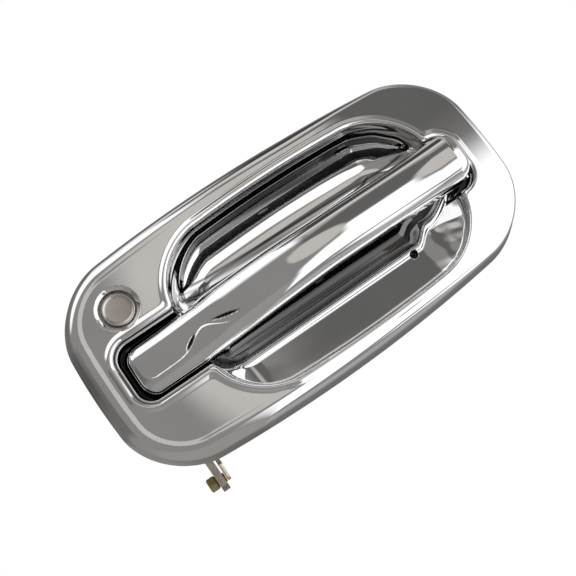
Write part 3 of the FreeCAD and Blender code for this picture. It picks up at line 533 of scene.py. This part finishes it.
def grip_outline(x, z):
    """Distance outside the grip seen from the front."""
    share = np.clip((x - GRIP["left"]) / (GRIP["waist"] - GRIP["left"]), 0, 1)
    half = GRIP["half_left"] + (GRIP["half_right"] - GRIP["half_left"]) * share ** TAPER_POWER
    across = np.abs(z - GRIP_Z) - half
    left = round_max(GRIP["left"] - x, across, LEFT_CORNER)
    right = round_max(x - GRIP["right"], across, RIGHT_CORNER)
    return np.where(x < 0, left, right)


def grip_top(x):
    """Height of the grip's front along its middle: a flat pad at the free end, then an arch."""
    from_peak = x - PEAK_X
    arch = PEAK_HEIGHT - np.where(from_peak < 0, LEFT_CURVE, RIGHT_CURVE) * from_peak ** 2
    pad = PAD_HEIGHT + PAD_SLOPE * (x - PAD_X)
    return soft_max(arch, pad, PAD_BLEND)


def in_creases(x, across):
    """1 inside the two leaf-shaped creases beside the grip's neck, and 0 outside them."""
    share = 0.0
    for middle, reach, lean in CREASES:
        cosine = math.cos(math.radians(lean))
        sine = math.sin(math.radians(lean))
        along = ((x - middle[0]) * cosine + (across - middle[1]) * sine) / reach[0]
        beside = ((across - middle[1]) * cosine - (x - middle[0]) * sine) / reach[1]
        share = np.maximum(share, step_down(np.hypot(along, beside), *CREASE_EDGE))
    return share


def pad_relief(x, across):
    """How far the pad's top lies below the plain grip: a dished panel, rounded edges and two creases."""
    lower_edge = PANEL_LOW + BULGE_HEIGHT * np.exp(-((x - BULGE_X) / BULGE_WIDTH) ** 2)
    panel = round_max(PANEL_LEFT - x, lower_edge - across, PANEL_CORNER)
    dish = DISH_DEPTH * step_down(panel, *PANEL_EDGE) * step_down(x, *PANEL_FADE)
    edges = (np.maximum(across - UPPER_START, 0) ** 2 / UPPER_SPREAD
             + np.maximum(END_START - x, 0) ** 2 / END_SPREAD)
    return dish + edges * step_down(x, *ROUNDING_FADE) + CREASE_DEPTH * in_creases(x, across)


def grip_field(x, z, height):
    """Grip shell: crowned and round-edged, hollow behind for its carrier."""
    outline = grip_outline(x, z)
    across = z - GRIP_Z
    spread = CROWN_SPREAD + PAD_CROWN_SPREAD * step_down(x, *PAD_CROWN_FADE)
    top = grip_top(x) - across ** 2 / spread - pad_relief(x, across)
    body = round_max(outline, height - top, FRONT_ROUND)
    hollow = round_max(outline + GRIP_SKIN, height - top + GRIP_SKIN, GRIP_HOLLOW_CORNER)
    body = soft_max(body, -hollow, GRIP_HOLLOW_BLEND)
    back = np.maximum(BACK_PEAK - (x - BACK_X) ** 2 / BACK_SPREAD, BACK_LEAST)
    return round_max(body, back - height, SOFT)


# ---------------------------------------------------------------- painted shade: darkening painted into the chrome where little light gets in, and painted dark reflections

# where the pockets' painted shade fades in: inside their edge, and across the finger recess's edge
POCKET_BAND = (-0.6, 0)
OUT_OF_RECESS = (-3.0, 1.0)
# painted shade in the cup's trays: growth of the pocket, heights where the painted shade ends, and the band
# at its wall
TRAY_GROWTH = 0.5
TRAY_RIM = (10.6, 11.2)
TRAY_WALL = (-0.7, -0.1)
DRAIN_BAND = (1.8, 2.0)
DRAIN_RIM = (5.4, 6.2)
# painted dark reflection on the upper wall of the bowl: its band, how much lower this reaches per
# millimetre right of a place in x, its fades, and its darkening at the left and the gain to the right
WALL_BAND = (-4.6, -3.2)
WALL_WIDENING = 0.055
WALL_X = -45
WALL_LOW_FADE = (24, 30)
WALL_CORNER_FADE = (-16, -9)
WALL_RIGHT_FADE = (20, 80)
WALL_LEFT_GLOOM = 0.2
WALL_GAIN = 0.55
WALL_GAIN_FADE = (-50, 5)
# painted shadow and dark reflection streaks on the bowl's floor: darkening, distance from the grip's line
# and half width, and their slant
STREAKS = ((0.75, 22.6, 0.9), (0.45, 20.0, 1.0), (0.85, 16.6, 1.8))
STREAK_SLANT = 0.04
STREAK_CORE = 0.4
STREAK_LOW_FADE = (-4, 4)
STREAK_WALL_FADE = (-8, -4)
# painted shade on the lower wall of the bowl
LOWER_WALL_GLOOM = 0.8
LOWER_WALL_BAND = (-3.2, -1.6)
LOWER_WALL_FADE = (-10, -4)
# depth behind the cup's front face at which its painted shade stops
FRONT_BAND = (0.4, 1.0)
# painted shade on the pockets' walls in the bezel
POCKET_GROWTH = 1.0
POCKET_RIM = (12.8, 13.6)
# painted dark reflection on the bezel's lower side wall and upper roll, each fading out across lines that
# climb with x
BORDER_CLIMB = 0.35
SIDE_WALL_GLOOM = 0.62
SIDE_WALL_BAND = (-2.6, -1.6)
SIDE_WALL_FADE = (-10, 40)
UPPER_ROLL_GLOOM = 0.5
UPPER_ROLL_BAND = (-5.5, -3.0)
UPPER_ROLL_FADE = (20, 45)
# height above which the creases get a painted dark reflection, clear of the grip's hollow
CREASE_FRONT = (12, 14)


def add_painted_shade(piece, shade):
    """Stores on each vertex how much painted shade its colour gets: 1 deep in narrow gaps and on painted
    dark reflections, 0 in the open.
    """
    mesh = piece.data
    places = np.empty(3 * len(mesh.vertices), np.float32)
    mesh.vertices.foreach_get("co", places)
    x, y, z = places.reshape(-1, 3).T / MM
    layer = mesh.attributes.new("painted_shade", "FLOAT", "POINT")
    layer.data.foreach_set("value", shade(x, z, -y).astype(np.float32))


def in_pockets(x, z, growth):
    """1 in the end pockets, away from the finger recess, and 0 outside them."""
    in_either = step_down(either_pocket(x, z) - growth, *POCKET_BAND)
    return in_either * step_up(bowed(x, z, RECESS), *OUT_OF_RECESS)


def painted_wall_reflection(x, z):
    """Painted dark reflection on the bowl's upper wall, deeper and wider towards the right."""
    band = step_up(bowl_outline(x, z) + WALL_WIDENING * (x - WALL_X), *WALL_BAND)
    fades = step_up(z, *WALL_LOW_FADE) * step_up(x + z, *WALL_CORNER_FADE) * step_down(x, *WALL_RIGHT_FADE)
    return band * fades * (WALL_LEFT_GLOOM + WALL_GAIN * step_up(x, *WALL_GAIN_FADE))


def painted_streaks(x, z):
    """Painted shadow of the grip and painted dark reflection lines, in soft streaks on the bowl's floor
    alongside the grip's upper edge.
    """
    across = np.abs(z - GRIP_Z) + STREAK_SLANT * x
    streaks = [painted_shade * (1 - step_up(np.abs(across - middle), STREAK_CORE * half_width, half_width))
               for painted_shade, middle, half_width in STREAKS]
    fades = step_up(z, *STREAK_LOW_FADE) * step_down(bowl_outline(x, z), *STREAK_WALL_FADE)
    return np.max(streaks, axis=0) * fades


def cup_painted_shade(x, z, height):
    """Painted shade in the trays and drain hole, and painted shade and dark reflections that dim the bowl
    walls and floor on the cup's front.
    """
    at_tray = np.maximum(step_down(height, *TRAY_RIM), step_up(opening(x, z), *TRAY_WALL))
    trays = in_pockets(x, z, TRAY_GROWTH) * at_tray
    from_drain = np.hypot(x - DRAIN[0], z - DRAIN[1])
    drain = step_down(from_drain, *DRAIN_BAND) * step_down(height, *DRAIN_RIM)
    lower_wall = step_down(bowl_outline(x, z), *LOWER_WALL_BAND) * step_down(z, *LOWER_WALL_FADE)
    bowl = np.max([painted_wall_reflection(x, z), painted_streaks(x, z), LOWER_WALL_GLOOM * lower_wall], axis=0)
    return np.max([trays, drain, bowl * step_down(cup_space(x, z, height), *FRONT_BAND)], axis=0)


def bezel_painted_shade(x, z, height):
    """Painted shade on the walls inside the end pockets, below the bead, and painted dark reflection that
    dims the lower side wall and upper roll.
    """
    pockets = in_pockets(x, z, POCKET_GROWTH) * step_down(height, *POCKET_RIM)
    edge = bowed(x, z, BEZEL)
    climb = z - BORDER_CLIMB * x
    side_wall = SIDE_WALL_GLOOM * step_up(edge, *SIDE_WALL_BAND) * step_up(-climb, *SIDE_WALL_FADE)
    upper_roll = UPPER_ROLL_GLOOM * step_up(edge, *UPPER_ROLL_BAND) * step_up(climb, *UPPER_ROLL_FADE)
    return np.max([pockets, side_wall, upper_roll], axis=0)


def grip_painted_shade(x, z, height):
    """Painted dark reflection in the creases beside the neck."""
    return in_creases(x, z - GRIP_Z) * step_up(height, *CREASE_FRONT)


# ---------------------------------------------------------------- lock face

# radius and back of the cap, chamfer behind it, and the rounded rim round its face
CAP_RADIUS = 7.6
CAP_BACK = 10.0
CAP_CHAMFER = (0.4, 0.3)
RIM_START = 10.9
RIM_ROUND = (0.7, 0.5)
RIM_STEP_DEGREES = 15
# dished face, and the two steps down to it from the rim, as growth in radius and in height
DISH_RADIUS = 6.2
DISH_EDGE_HEIGHT = 11.1
DISH_FALL = 0.12
DISH_RINGS = (DISH_RADIUS, 5, 4, 3, 2, 1, 0.2)
DISH_STEPS = ((0.3, 0.2), (0.1, 0.05))


def lock_disc():
    """Satin disc on the lock plug: a dished face inside a rounded rim."""
    profile = [(CAP_RADIUS - CAP_CHAMFER[0], CAP_BACK), (CAP_RADIUS, CAP_BACK + CAP_CHAMFER[1])]
    for degrees in range(0, 91, RIM_STEP_DEGREES):
        angle = math.radians(degrees)
        profile.append((CAP_RADIUS - RIM_ROUND[0] * (1 - math.cos(angle)),
                        RIM_START + RIM_ROUND[1] * math.sin(angle)))
    profile += [(DISH_RADIUS + out, DISH_EDGE_HEIGHT + up) for out, up in DISH_STEPS]
    profile += [(radius, DISH_EDGE_HEIGHT - DISH_FALL * (1 - (radius / DISH_RADIUS) ** 2))
                for radius in DISH_RINGS]
    return turned_piece("lock_disc", profile, LOCK)


# ---------------------------------------------------------------- rod clip and crank flange

# where the latch rod's clip turns, in (y, z)
ROD_PIN = (30.0, -57.5)
# plates: two (y, z) ends, radius at each, start and end in x, and edge radius
CLIP_BARREL = dict(ends=(ROD_PIN, (30.6, -56.4)), radii=(3.0, 2.8), reach=(-88.4, -83.9), edge=0.9)
CLIP_JOURNAL = dict(ends=(ROD_PIN, (30.0, -57.4)), radii=(2.3, 2.3), reach=(-84.6, -79.5), edge=0.3)
CRANK_FLANGE = dict(ends=((22.5, -45.0), (29.0, -56.6)), radii=(2.4, 3.2), reach=(-79.3, -77.5), edge=0.5)


def bar_piece(name, ends, radii, reach, edge):
    """A flat bar with round ends."""
    return plate_piece(name, rounded_bar(*ends, *radii), *reach, edge)


# ---------------------------------------------------------------- pieces on the frame

# the box that holds each field piece, in (x, z, height), and the net's step
BEZEL_BOX = dict(low=(-110, -57, 0), high=(110, 57, 18), step=0.42)
CUP_BOX = dict(low=(-97, -52, -13), high=(97, 50, 14), step=0.5)
GRIP_BOX = dict(low=(-91, -18, 7), high=(91, 14, 34), step=0.45)

bezel = field_piece("bezel_shell", bezel_field, **BEZEL_BOX)
cup = field_piece("recess_bowl", cup_field, **CUP_BOX)
grip = field_piece("grip_skin", grip_field, **GRIP_BOX)
# painted shade and painted dark reflections, stored on each chrome piece's vertices
add_painted_shade(bezel, bezel_painted_shade)
add_painted_shade(cup, cup_painted_shade)
add_painted_shade(grip, grip_painted_shade)
disc = lock_disc()
clip = bar_piece("rod_clip_barrel", **CLIP_BARREL)
journal = bar_piece("rod_clip_journal", **CLIP_JOURNAL)
flange = bar_piece("crank_flange", **CRANK_FLANGE)

# each piece's body, the CAD node that it stands for, its material slot and its material
PIECES = (
    (bezel, "base", "bezel", "chrome_plate", "chrome"),
    (cup, "base", "recess_cup", "cup_chrome", "chrome"),
    (grip, "grip", "grip_shell", "grip_chrome", "chrome"),
    (disc, "lock_plug", "lock_face_cap", "lock_cap", "lock_cap"),
    (clip, "rod_clip", "rod_clip", "clip_olive", "clip_olive"),
    (journal, "rod_clip", None, "clip_olive", "clip_olive"),
    (flange, "bell_crank", None, "zinc_yellow", "zinc_pale"),
)
for piece, body, node, slot_name, _ in PIECES:
    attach(piece, body)
    if node:
        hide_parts(node)


# ---------------------------------------------------------------- materials

# scale of the slow colour variation, detail of the grain, and where a ramp starts and ends on a noise
SLOW_NOISE = 55.0
GRAIN_DETAIL = 2.0
RAMP_ENDS = (0.35, 0.65)
BUMP_DISTANCE = 0.0002
# colour that the painted shade and painted dark reflections mix into the chrome
PAINTED_SHADE_COLOUR = (0.02, 0.02, 0.022, 1)


def new_material(name):
    """An empty node material: returns it, its node tree, and its principled shader."""
    material = bpy.data.materials.new(name)
    material.use_nodes = True
    tree = material.node_tree
    return material, tree, tree.nodes["Principled BSDF"]


def noise(tree, scale, detail=3.0):
    """A noise texture in object space."""
    coords = tree.nodes.new("ShaderNodeTexCoord")
    texture = tree.nodes.new("ShaderNodeTexNoise")
    texture.inputs["Scale"].default_value = scale
    texture.inputs["Detail"].default_value = detail
    tree.links.new(coords.outputs["Object"], texture.inputs["Vector"])
    return texture


def ramp(tree, source, low, high):
    """A colour ramp from low to high on a texture's factor."""
    node = tree.nodes.new("ShaderNodeValToRGB")
    for stop, place, value in zip(node.color_ramp.elements, RAMP_ENDS, (low, high)):
        stop.position = place
        stop.color = (*value, 1) if isinstance(value, tuple) else (value, value, value, 1)
    tree.links.new(source.outputs["Fac"], node.inputs["Fac"])
    return node


def bump(tree, shader, source, strength):
    """Bump from a texture's factor."""
    node = tree.nodes.new("ShaderNodeBump")
    node.inputs["Strength"].default_value = strength
    node.inputs["Distance"].default_value = BUMP_DISTANCE
    tree.links.new(source.outputs["Fac"], node.inputs["Height"])
    tree.links.new(node.outputs["Normal"], shader.inputs["Normal"])


def coat(name, light, dark, roughness, grain=900.0, grain_bump=0.05, metallic=1.0):
    """Metal or plastic with slow colour variation, uneven roughness and a fine grain."""
    material, tree, shader = new_material(name)
    shader.inputs["Metallic"].default_value = metallic
    slow = noise(tree, SLOW_NOISE)
    tree.links.new(ramp(tree, slow, dark, light).outputs["Color"], shader.inputs["Base Color"])
    fine = noise(tree, grain, GRAIN_DETAIL)
    tree.links.new(ramp(tree, fine, *roughness).outputs["Color"], shader.inputs["Roughness"])
    if grain_bump:
        bump(tree, shader, fine, grain_bump)
    return material


def chrome_plate():
    """Bright plating with painted shade: its colour is mixed towards a dark colour by the mesh's
    painted-shade attribute.
    """
    material = coat("chrome", (0.86, 0.86, 0.865), (0.82, 0.82, 0.825), (0.02, 0.045), 400.0, 0.0)
    tree = material.node_tree
    shader = tree.nodes["Principled BSDF"]
    plain = shader.inputs["Base Color"].links[0].from_socket
    painted_shade = tree.nodes.new("ShaderNodeAttribute")
    painted_shade.attribute_name = "painted_shade"
    blend = tree.nodes.new("ShaderNodeMix")
    blend.data_type = "RGBA"
    first, second = [socket for socket in blend.inputs if socket.type == "RGBA"]
    tree.links.new(painted_shade.outputs["Fac"], blend.inputs["Factor"])
    tree.links.new(plain, first)
    second.default_value = PAINTED_SHADE_COLOUR
    result = next(socket for socket in blend.outputs if socket.type == "RGBA")
    tree.links.new(result, shader.inputs["Base Color"])
    return material


def plastic(name, light, dark, roughness, grain, grain_bump):
    """A coat that isn't metal."""
    return coat(name, light, dark, roughness, grain, grain_bump, 0.0)


chrome = chrome_plate()
MATERIALS = {
    "chrome": chrome,
    "chrome_plate": chrome,
    "cup_chrome": chrome,
    "grip_chrome": chrome,
    "cast_zinc": coat("cast_zinc", (0.52, 0.52, 0.53), (0.40, 0.40, 0.41), (0.38, 0.55), 700.0, 0.25),
    "foam": plastic("foam", (0.045, 0.045, 0.05), (0.025, 0.025, 0.028), (0.8, 0.95), 1600.0, 0.6),
    "zinc_steel": coat("zinc_steel", (0.66, 0.67, 0.70), (0.52, 0.53, 0.56), (0.25, 0.40), 900.0, 0.1),
    "bumper_rubber": plastic(
        "bumper_rubber", (0.035, 0.035, 0.035), (0.02, 0.02, 0.02), (0.6, 0.8), 900.0, 0.2),
    "bright_steel": coat("bright_steel", (0.68, 0.68, 0.70), (0.55, 0.55, 0.57), (0.15, 0.28), 1200.0),
    "spring_steel": coat("spring_steel", (0.42, 0.42, 0.44), (0.30, 0.30, 0.32), (0.25, 0.4), 1200.0, 0.1),
    "black_plastic": plastic(
        "black_plastic", (0.035, 0.035, 0.037), (0.02, 0.02, 0.022), (0.4, 0.55), 2200.0, 0.3),
    "bush_plastic": plastic(
        "bush_plastic", (0.80, 0.78, 0.72), (0.72, 0.70, 0.63), (0.35, 0.5), 900.0, 0.05),
    "zinc_yellow": coat("zinc_yellow", (0.42, 0.36, 0.30), (0.13, 0.11, 0.09), (0.16, 0.34), 500.0, 0.25),
    "zinc_pale": coat("zinc_pale", (0.80, 0.68, 0.54), (0.52, 0.42, 0.32), (0.25, 0.45), 300.0, 0.1),
    "clip_olive": coat(
        "clip_olive", (0.16, 0.13, 0.045), (0.09, 0.07, 0.02), (0.3, 0.5), 900.0, 0.1, metallic=0.3),
    "lock_brass": coat("lock_brass", (0.70, 0.58, 0.35), (0.58, 0.46, 0.26), (0.2, 0.35)),
    "lock_cap": coat("lock_cap", (0.72, 0.66, 0.62), (0.62, 0.57, 0.53), (0.24, 0.30), 1500.0, 0.02),
}

for entry in frame["record"]["subparts"]:
    part = frame["nodes"][entry["node"]]
    part.data.materials.clear()
    part.data.materials.append(MATERIALS[entry["material_slot"]])
for piece, *_, material_name in PIECES:
    piece.data.materials.append(MATERIALS[material_name])


# ---------------------------------------------------------------- what the chrome mirrors

def grey(level, warmth=0.03):
    """A slightly warm grey."""
    return (level * (1 + warmth), level, level * (1 - warmth))


WALL = grey(0.265)
# soft boxes and dark walls: azimuth range from straight ahead, elevation range, tilt of the range in
# degrees per degree of azimuth, softness in degrees, and colour. A later patch covers an earlier one.
PATCHES = (
    ((-200, 2), (-90, -28), 0, 10, grey(0.32, 0.05)),
    ((-200, -44), (-2, 18), 0, 6, grey(0.16, 0.06)),
    ((8, 110), (12, 48), 0, 3, grey(0.13, 0.02)),
    ((42, 110), (46, 75), 0, 3, grey(0.13, 0.02)),
    ((50, 200), (14, 60), 0, 12, grey(0.24, 0.02)),
    ((30, 62), (-16, 4), 1.25, 3, grey(0.47, 0.04)),
    ((12, 62), (32, 52), 0.3, 3, grey(0.42, 0.05)),
    ((2, 44), (44, 84), 0.1, 4, grey(0.66, 0.04)),
    ((58, 140), (50, 66), 0, 4, grey(0.42, 0.04)),
    ((10, 140), (66, 82), 0, 4, grey(0.06, 0.0)),
    ((-200, 200), (80, 95), 0, 3, grey(0.9, 0.0)),
    ((-70, 9), (37, 84), 0, 4, grey(1.2, 0.0)),
    ((-1, 3), (11.5, 24), 0, 1, grey(0.36, 0.04)),
    ((1, 44), (-80, -18), 0.85, 3, grey(1.35, 0.0)),
    ((18, 44), (-20, 10), 0, 2, grey(1.35, 0.0)),
    ((40, 98), (-70, 12), 0, 4, grey(1.35, 0.0)),
    ((98, 200), (-90, 14), 0, 5, grey(0.42, 0.0)),
)
# one oval box: azimuth and elevation of its centre, half widths, softness as a share of them, and colour
OVAL_CENTRE = (9.0, 12)
OVAL_HALF = (10, 15)
OVAL_SOFT = 0.12
OVAL_SHADE = grey(0.56, 0.05)
BACKDROP = (1.0, 1.0, 1.0, 1.0)


class NodeMaths:
    """Adds maths nodes to a node tree, and wires or sets their inputs."""

    def __init__(self, tree):
        self.nodes, self.links = tree.nodes, tree.links

    def fill(self, socket, value):
        """Links an output socket to an input, or sets a plain value on it."""
        if isinstance(value, (int, float, tuple)):
            socket.default_value = value
        else:
            self.links.new(value, socket)

    def maths(self, kind, *values):
        """The result of a maths node."""
        node = self.nodes.new("ShaderNodeMath")
        node.operation = kind
        for socket, value in zip(node.inputs, values):
            self.fill(socket, value)
        return node.outputs[0]

    def step(self, value, edge, soft):
        """0 below an edge and 1 above it, with a soft crossing."""
        node = self.nodes.new("ShaderNodeMapRange")
        node.interpolation_type = "SMOOTHSTEP"
        node.inputs["From Min"].default_value = edge - soft
        node.inputs["From Max"].default_value = edge + soft
        self.links.new(value, node.inputs["Value"])
        return node.outputs[0]

    def band(self, value, ends, soft):
        """1 between two edges and 0 outside them, with soft crossings."""
        return self.maths("SUBTRACT", self.step(value, ends[0], soft), self.step(value, ends[1], soft))

    def mix(self, factor, first, second):
        """A colour between two others."""
        node = self.nodes.new("ShaderNodeMix")
        node.data_type = "RGBA"
        self.links.new(factor, node.inputs["Factor"])
        colours = [socket for socket in node.inputs if socket.type == "RGBA"]
        for socket, value in zip(colours, (first, second)):
            self.fill(socket, value)
        return next(socket for socket in node.outputs if socket.type == "RGBA")


def reflections():
    """World: white behind the object, and the soft boxes and grey walls that its chrome mirrors."""
    world = bpy.data.worlds.new("studio")
    bpy.context.scene.world = world
    world.use_nodes = True
    tree = world.node_tree
    sums = NodeMaths(tree)
    coords = tree.nodes.new("ShaderNodeTexCoord")
    split = tree.nodes.new("ShaderNodeSeparateXYZ")
    tree.links.new(coords.outputs["Generated"], split.inputs["Vector"])
    x, y, z = split.outputs
    azimuth = sums.maths("DEGREES", sums.maths("ARCTAN2", x, sums.maths("MULTIPLY", y, -1)))
    elevation = sums.maths("DEGREES", sums.maths("ARCSINE", z))
    light = (*WALL, 1.0)
    for across, up, tilt, soft, shade in PATCHES:
        height = sums.maths("SUBTRACT", elevation, sums.maths("MULTIPLY", azimuth, tilt))
        inside = sums.maths("MULTIPLY", sums.band(azimuth, across, soft), sums.band(height, up, soft))
        light = sums.mix(inside, light, (*shade, 1.0))
    squares = []
    for angle, middle, reach in zip((azimuth, elevation), OVAL_CENTRE, OVAL_HALF):
        offset = sums.maths("DIVIDE", sums.maths("SUBTRACT", angle, middle), reach)
        squares.append(sums.maths("MULTIPLY", offset, offset))
    outside = sums.step(sums.maths("SQRT", sums.maths("ADD", *squares)), 1, OVAL_SOFT)
    light = sums.mix(outside, (*OVAL_SHADE, 1.0), light)
    is_camera = tree.nodes.new("ShaderNodeLightPath").outputs["Is Camera Ray"]
    tree.links.new(sums.mix(is_camera, light, BACKDROP), tree.nodes["Background"].inputs["Color"])


# ---------------------------------------------------------------- stage, light and camera

FLOOR_Z = -0.45
FLOOR_RADIUS = 6
FLOOR_SIDES = 96
FLOOR_NOISE = 3.0
FLOOR_ROUGHNESS = 0.9
# name, place, width and power of each light, in metres and watts
LIGHTS = (
    ("key", (0.5, -0.9, 0.7), 0.5, 6),
    ("fill", (-0.8, -0.6, 0.3), 0.6, 3),
    ("rim", (0.1, 0.8, 0.5), 0.6, 4),
)
CAMERA_YAW = math.radians(-9.0)
CAMERA_PITCH = math.radians(-10.6)
CAMERA_ROLL = math.radians(-35.85)
CAMERA_DISTANCE = 0.445
CAMERA_TARGET = Vector((-0.0084, 0, -0.0059))
SENSOR_WIDTH = 36
FOCAL_LENGTH = 61


def add_floor():
    """Plain pale floor well below the handle."""
    bpy.ops.mesh.primitive_circle_add(
        vertices=FLOOR_SIDES, radius=FLOOR_RADIUS, fill_type="NGON", location=(0, 0, FLOOR_Z))
    floor = bpy.context.object
    floor.name = "floor"
    material, tree, shader = new_material("floor_paint")
    paint = ramp(tree, noise(tree, FLOOR_NOISE), (0.86, 0.86, 0.86), (0.9, 0.9, 0.9))
    tree.links.new(paint.outputs["Color"], shader.inputs["Base Color"])
    shader.inputs["Roughness"].default_value = FLOOR_ROUGHNESS
    shader.inputs["Emission Color"].default_value = (1, 1, 1, 1)
    shader.inputs["Emission Strength"].default_value = 1.0
    floor.data.materials.append(material)
    floor.visible_glossy = False


def add_area(name, place, width, power):
    """Soft square light that faces the handle."""
    light = bpy.data.lights.new(name, "AREA")
    light.size = width
    light.energy = power
    lamp = bpy.data.objects.new(name, light)
    lamp.location = place
    lamp.rotation_euler = (-Vector(place)).to_track_quat("-Z", "Y").to_euler()
    lamp.visible_glossy = False
    bpy.context.scene.collection.objects.link(lamp)


def add_camera():
    """Camera a little left of the handle and below it, rolled so that the handle leans."""
    back = Vector((math.sin(CAMERA_YAW) * math.cos(CAMERA_PITCH),
                   -math.cos(CAMERA_YAW) * math.cos(CAMERA_PITCH), math.sin(CAMERA_PITCH)))
    right = (-back).cross(Vector((0, 0, 1))).normalized()
    up = right.cross(-back)
    turned_right = right * math.cos(CAMERA_ROLL) + up * math.sin(CAMERA_ROLL)
    turned_up = up * math.cos(CAMERA_ROLL) - right * math.sin(CAMERA_ROLL)
    lens = bpy.data.cameras.new("camera")
    lens.sensor_width = SENSOR_WIDTH
    lens.lens = FOCAL_LENGTH
    camera = bpy.data.objects.new("camera", lens)
    axes = Matrix((turned_right, turned_up, back)).transposed()
    camera.matrix_world = Matrix.Translation(CAMERA_TARGET + back * CAMERA_DISTANCE) @ axes.to_4x4()
    bpy.context.scene.collection.objects.link(camera)
    bpy.context.scene.camera = camera


reflections()
add_floor()
for name, place, width, power in LIGHTS:
    add_area(name, place, width, power)
add_camera()
bpy.context.scene.view_settings.view_transform = "Standard"
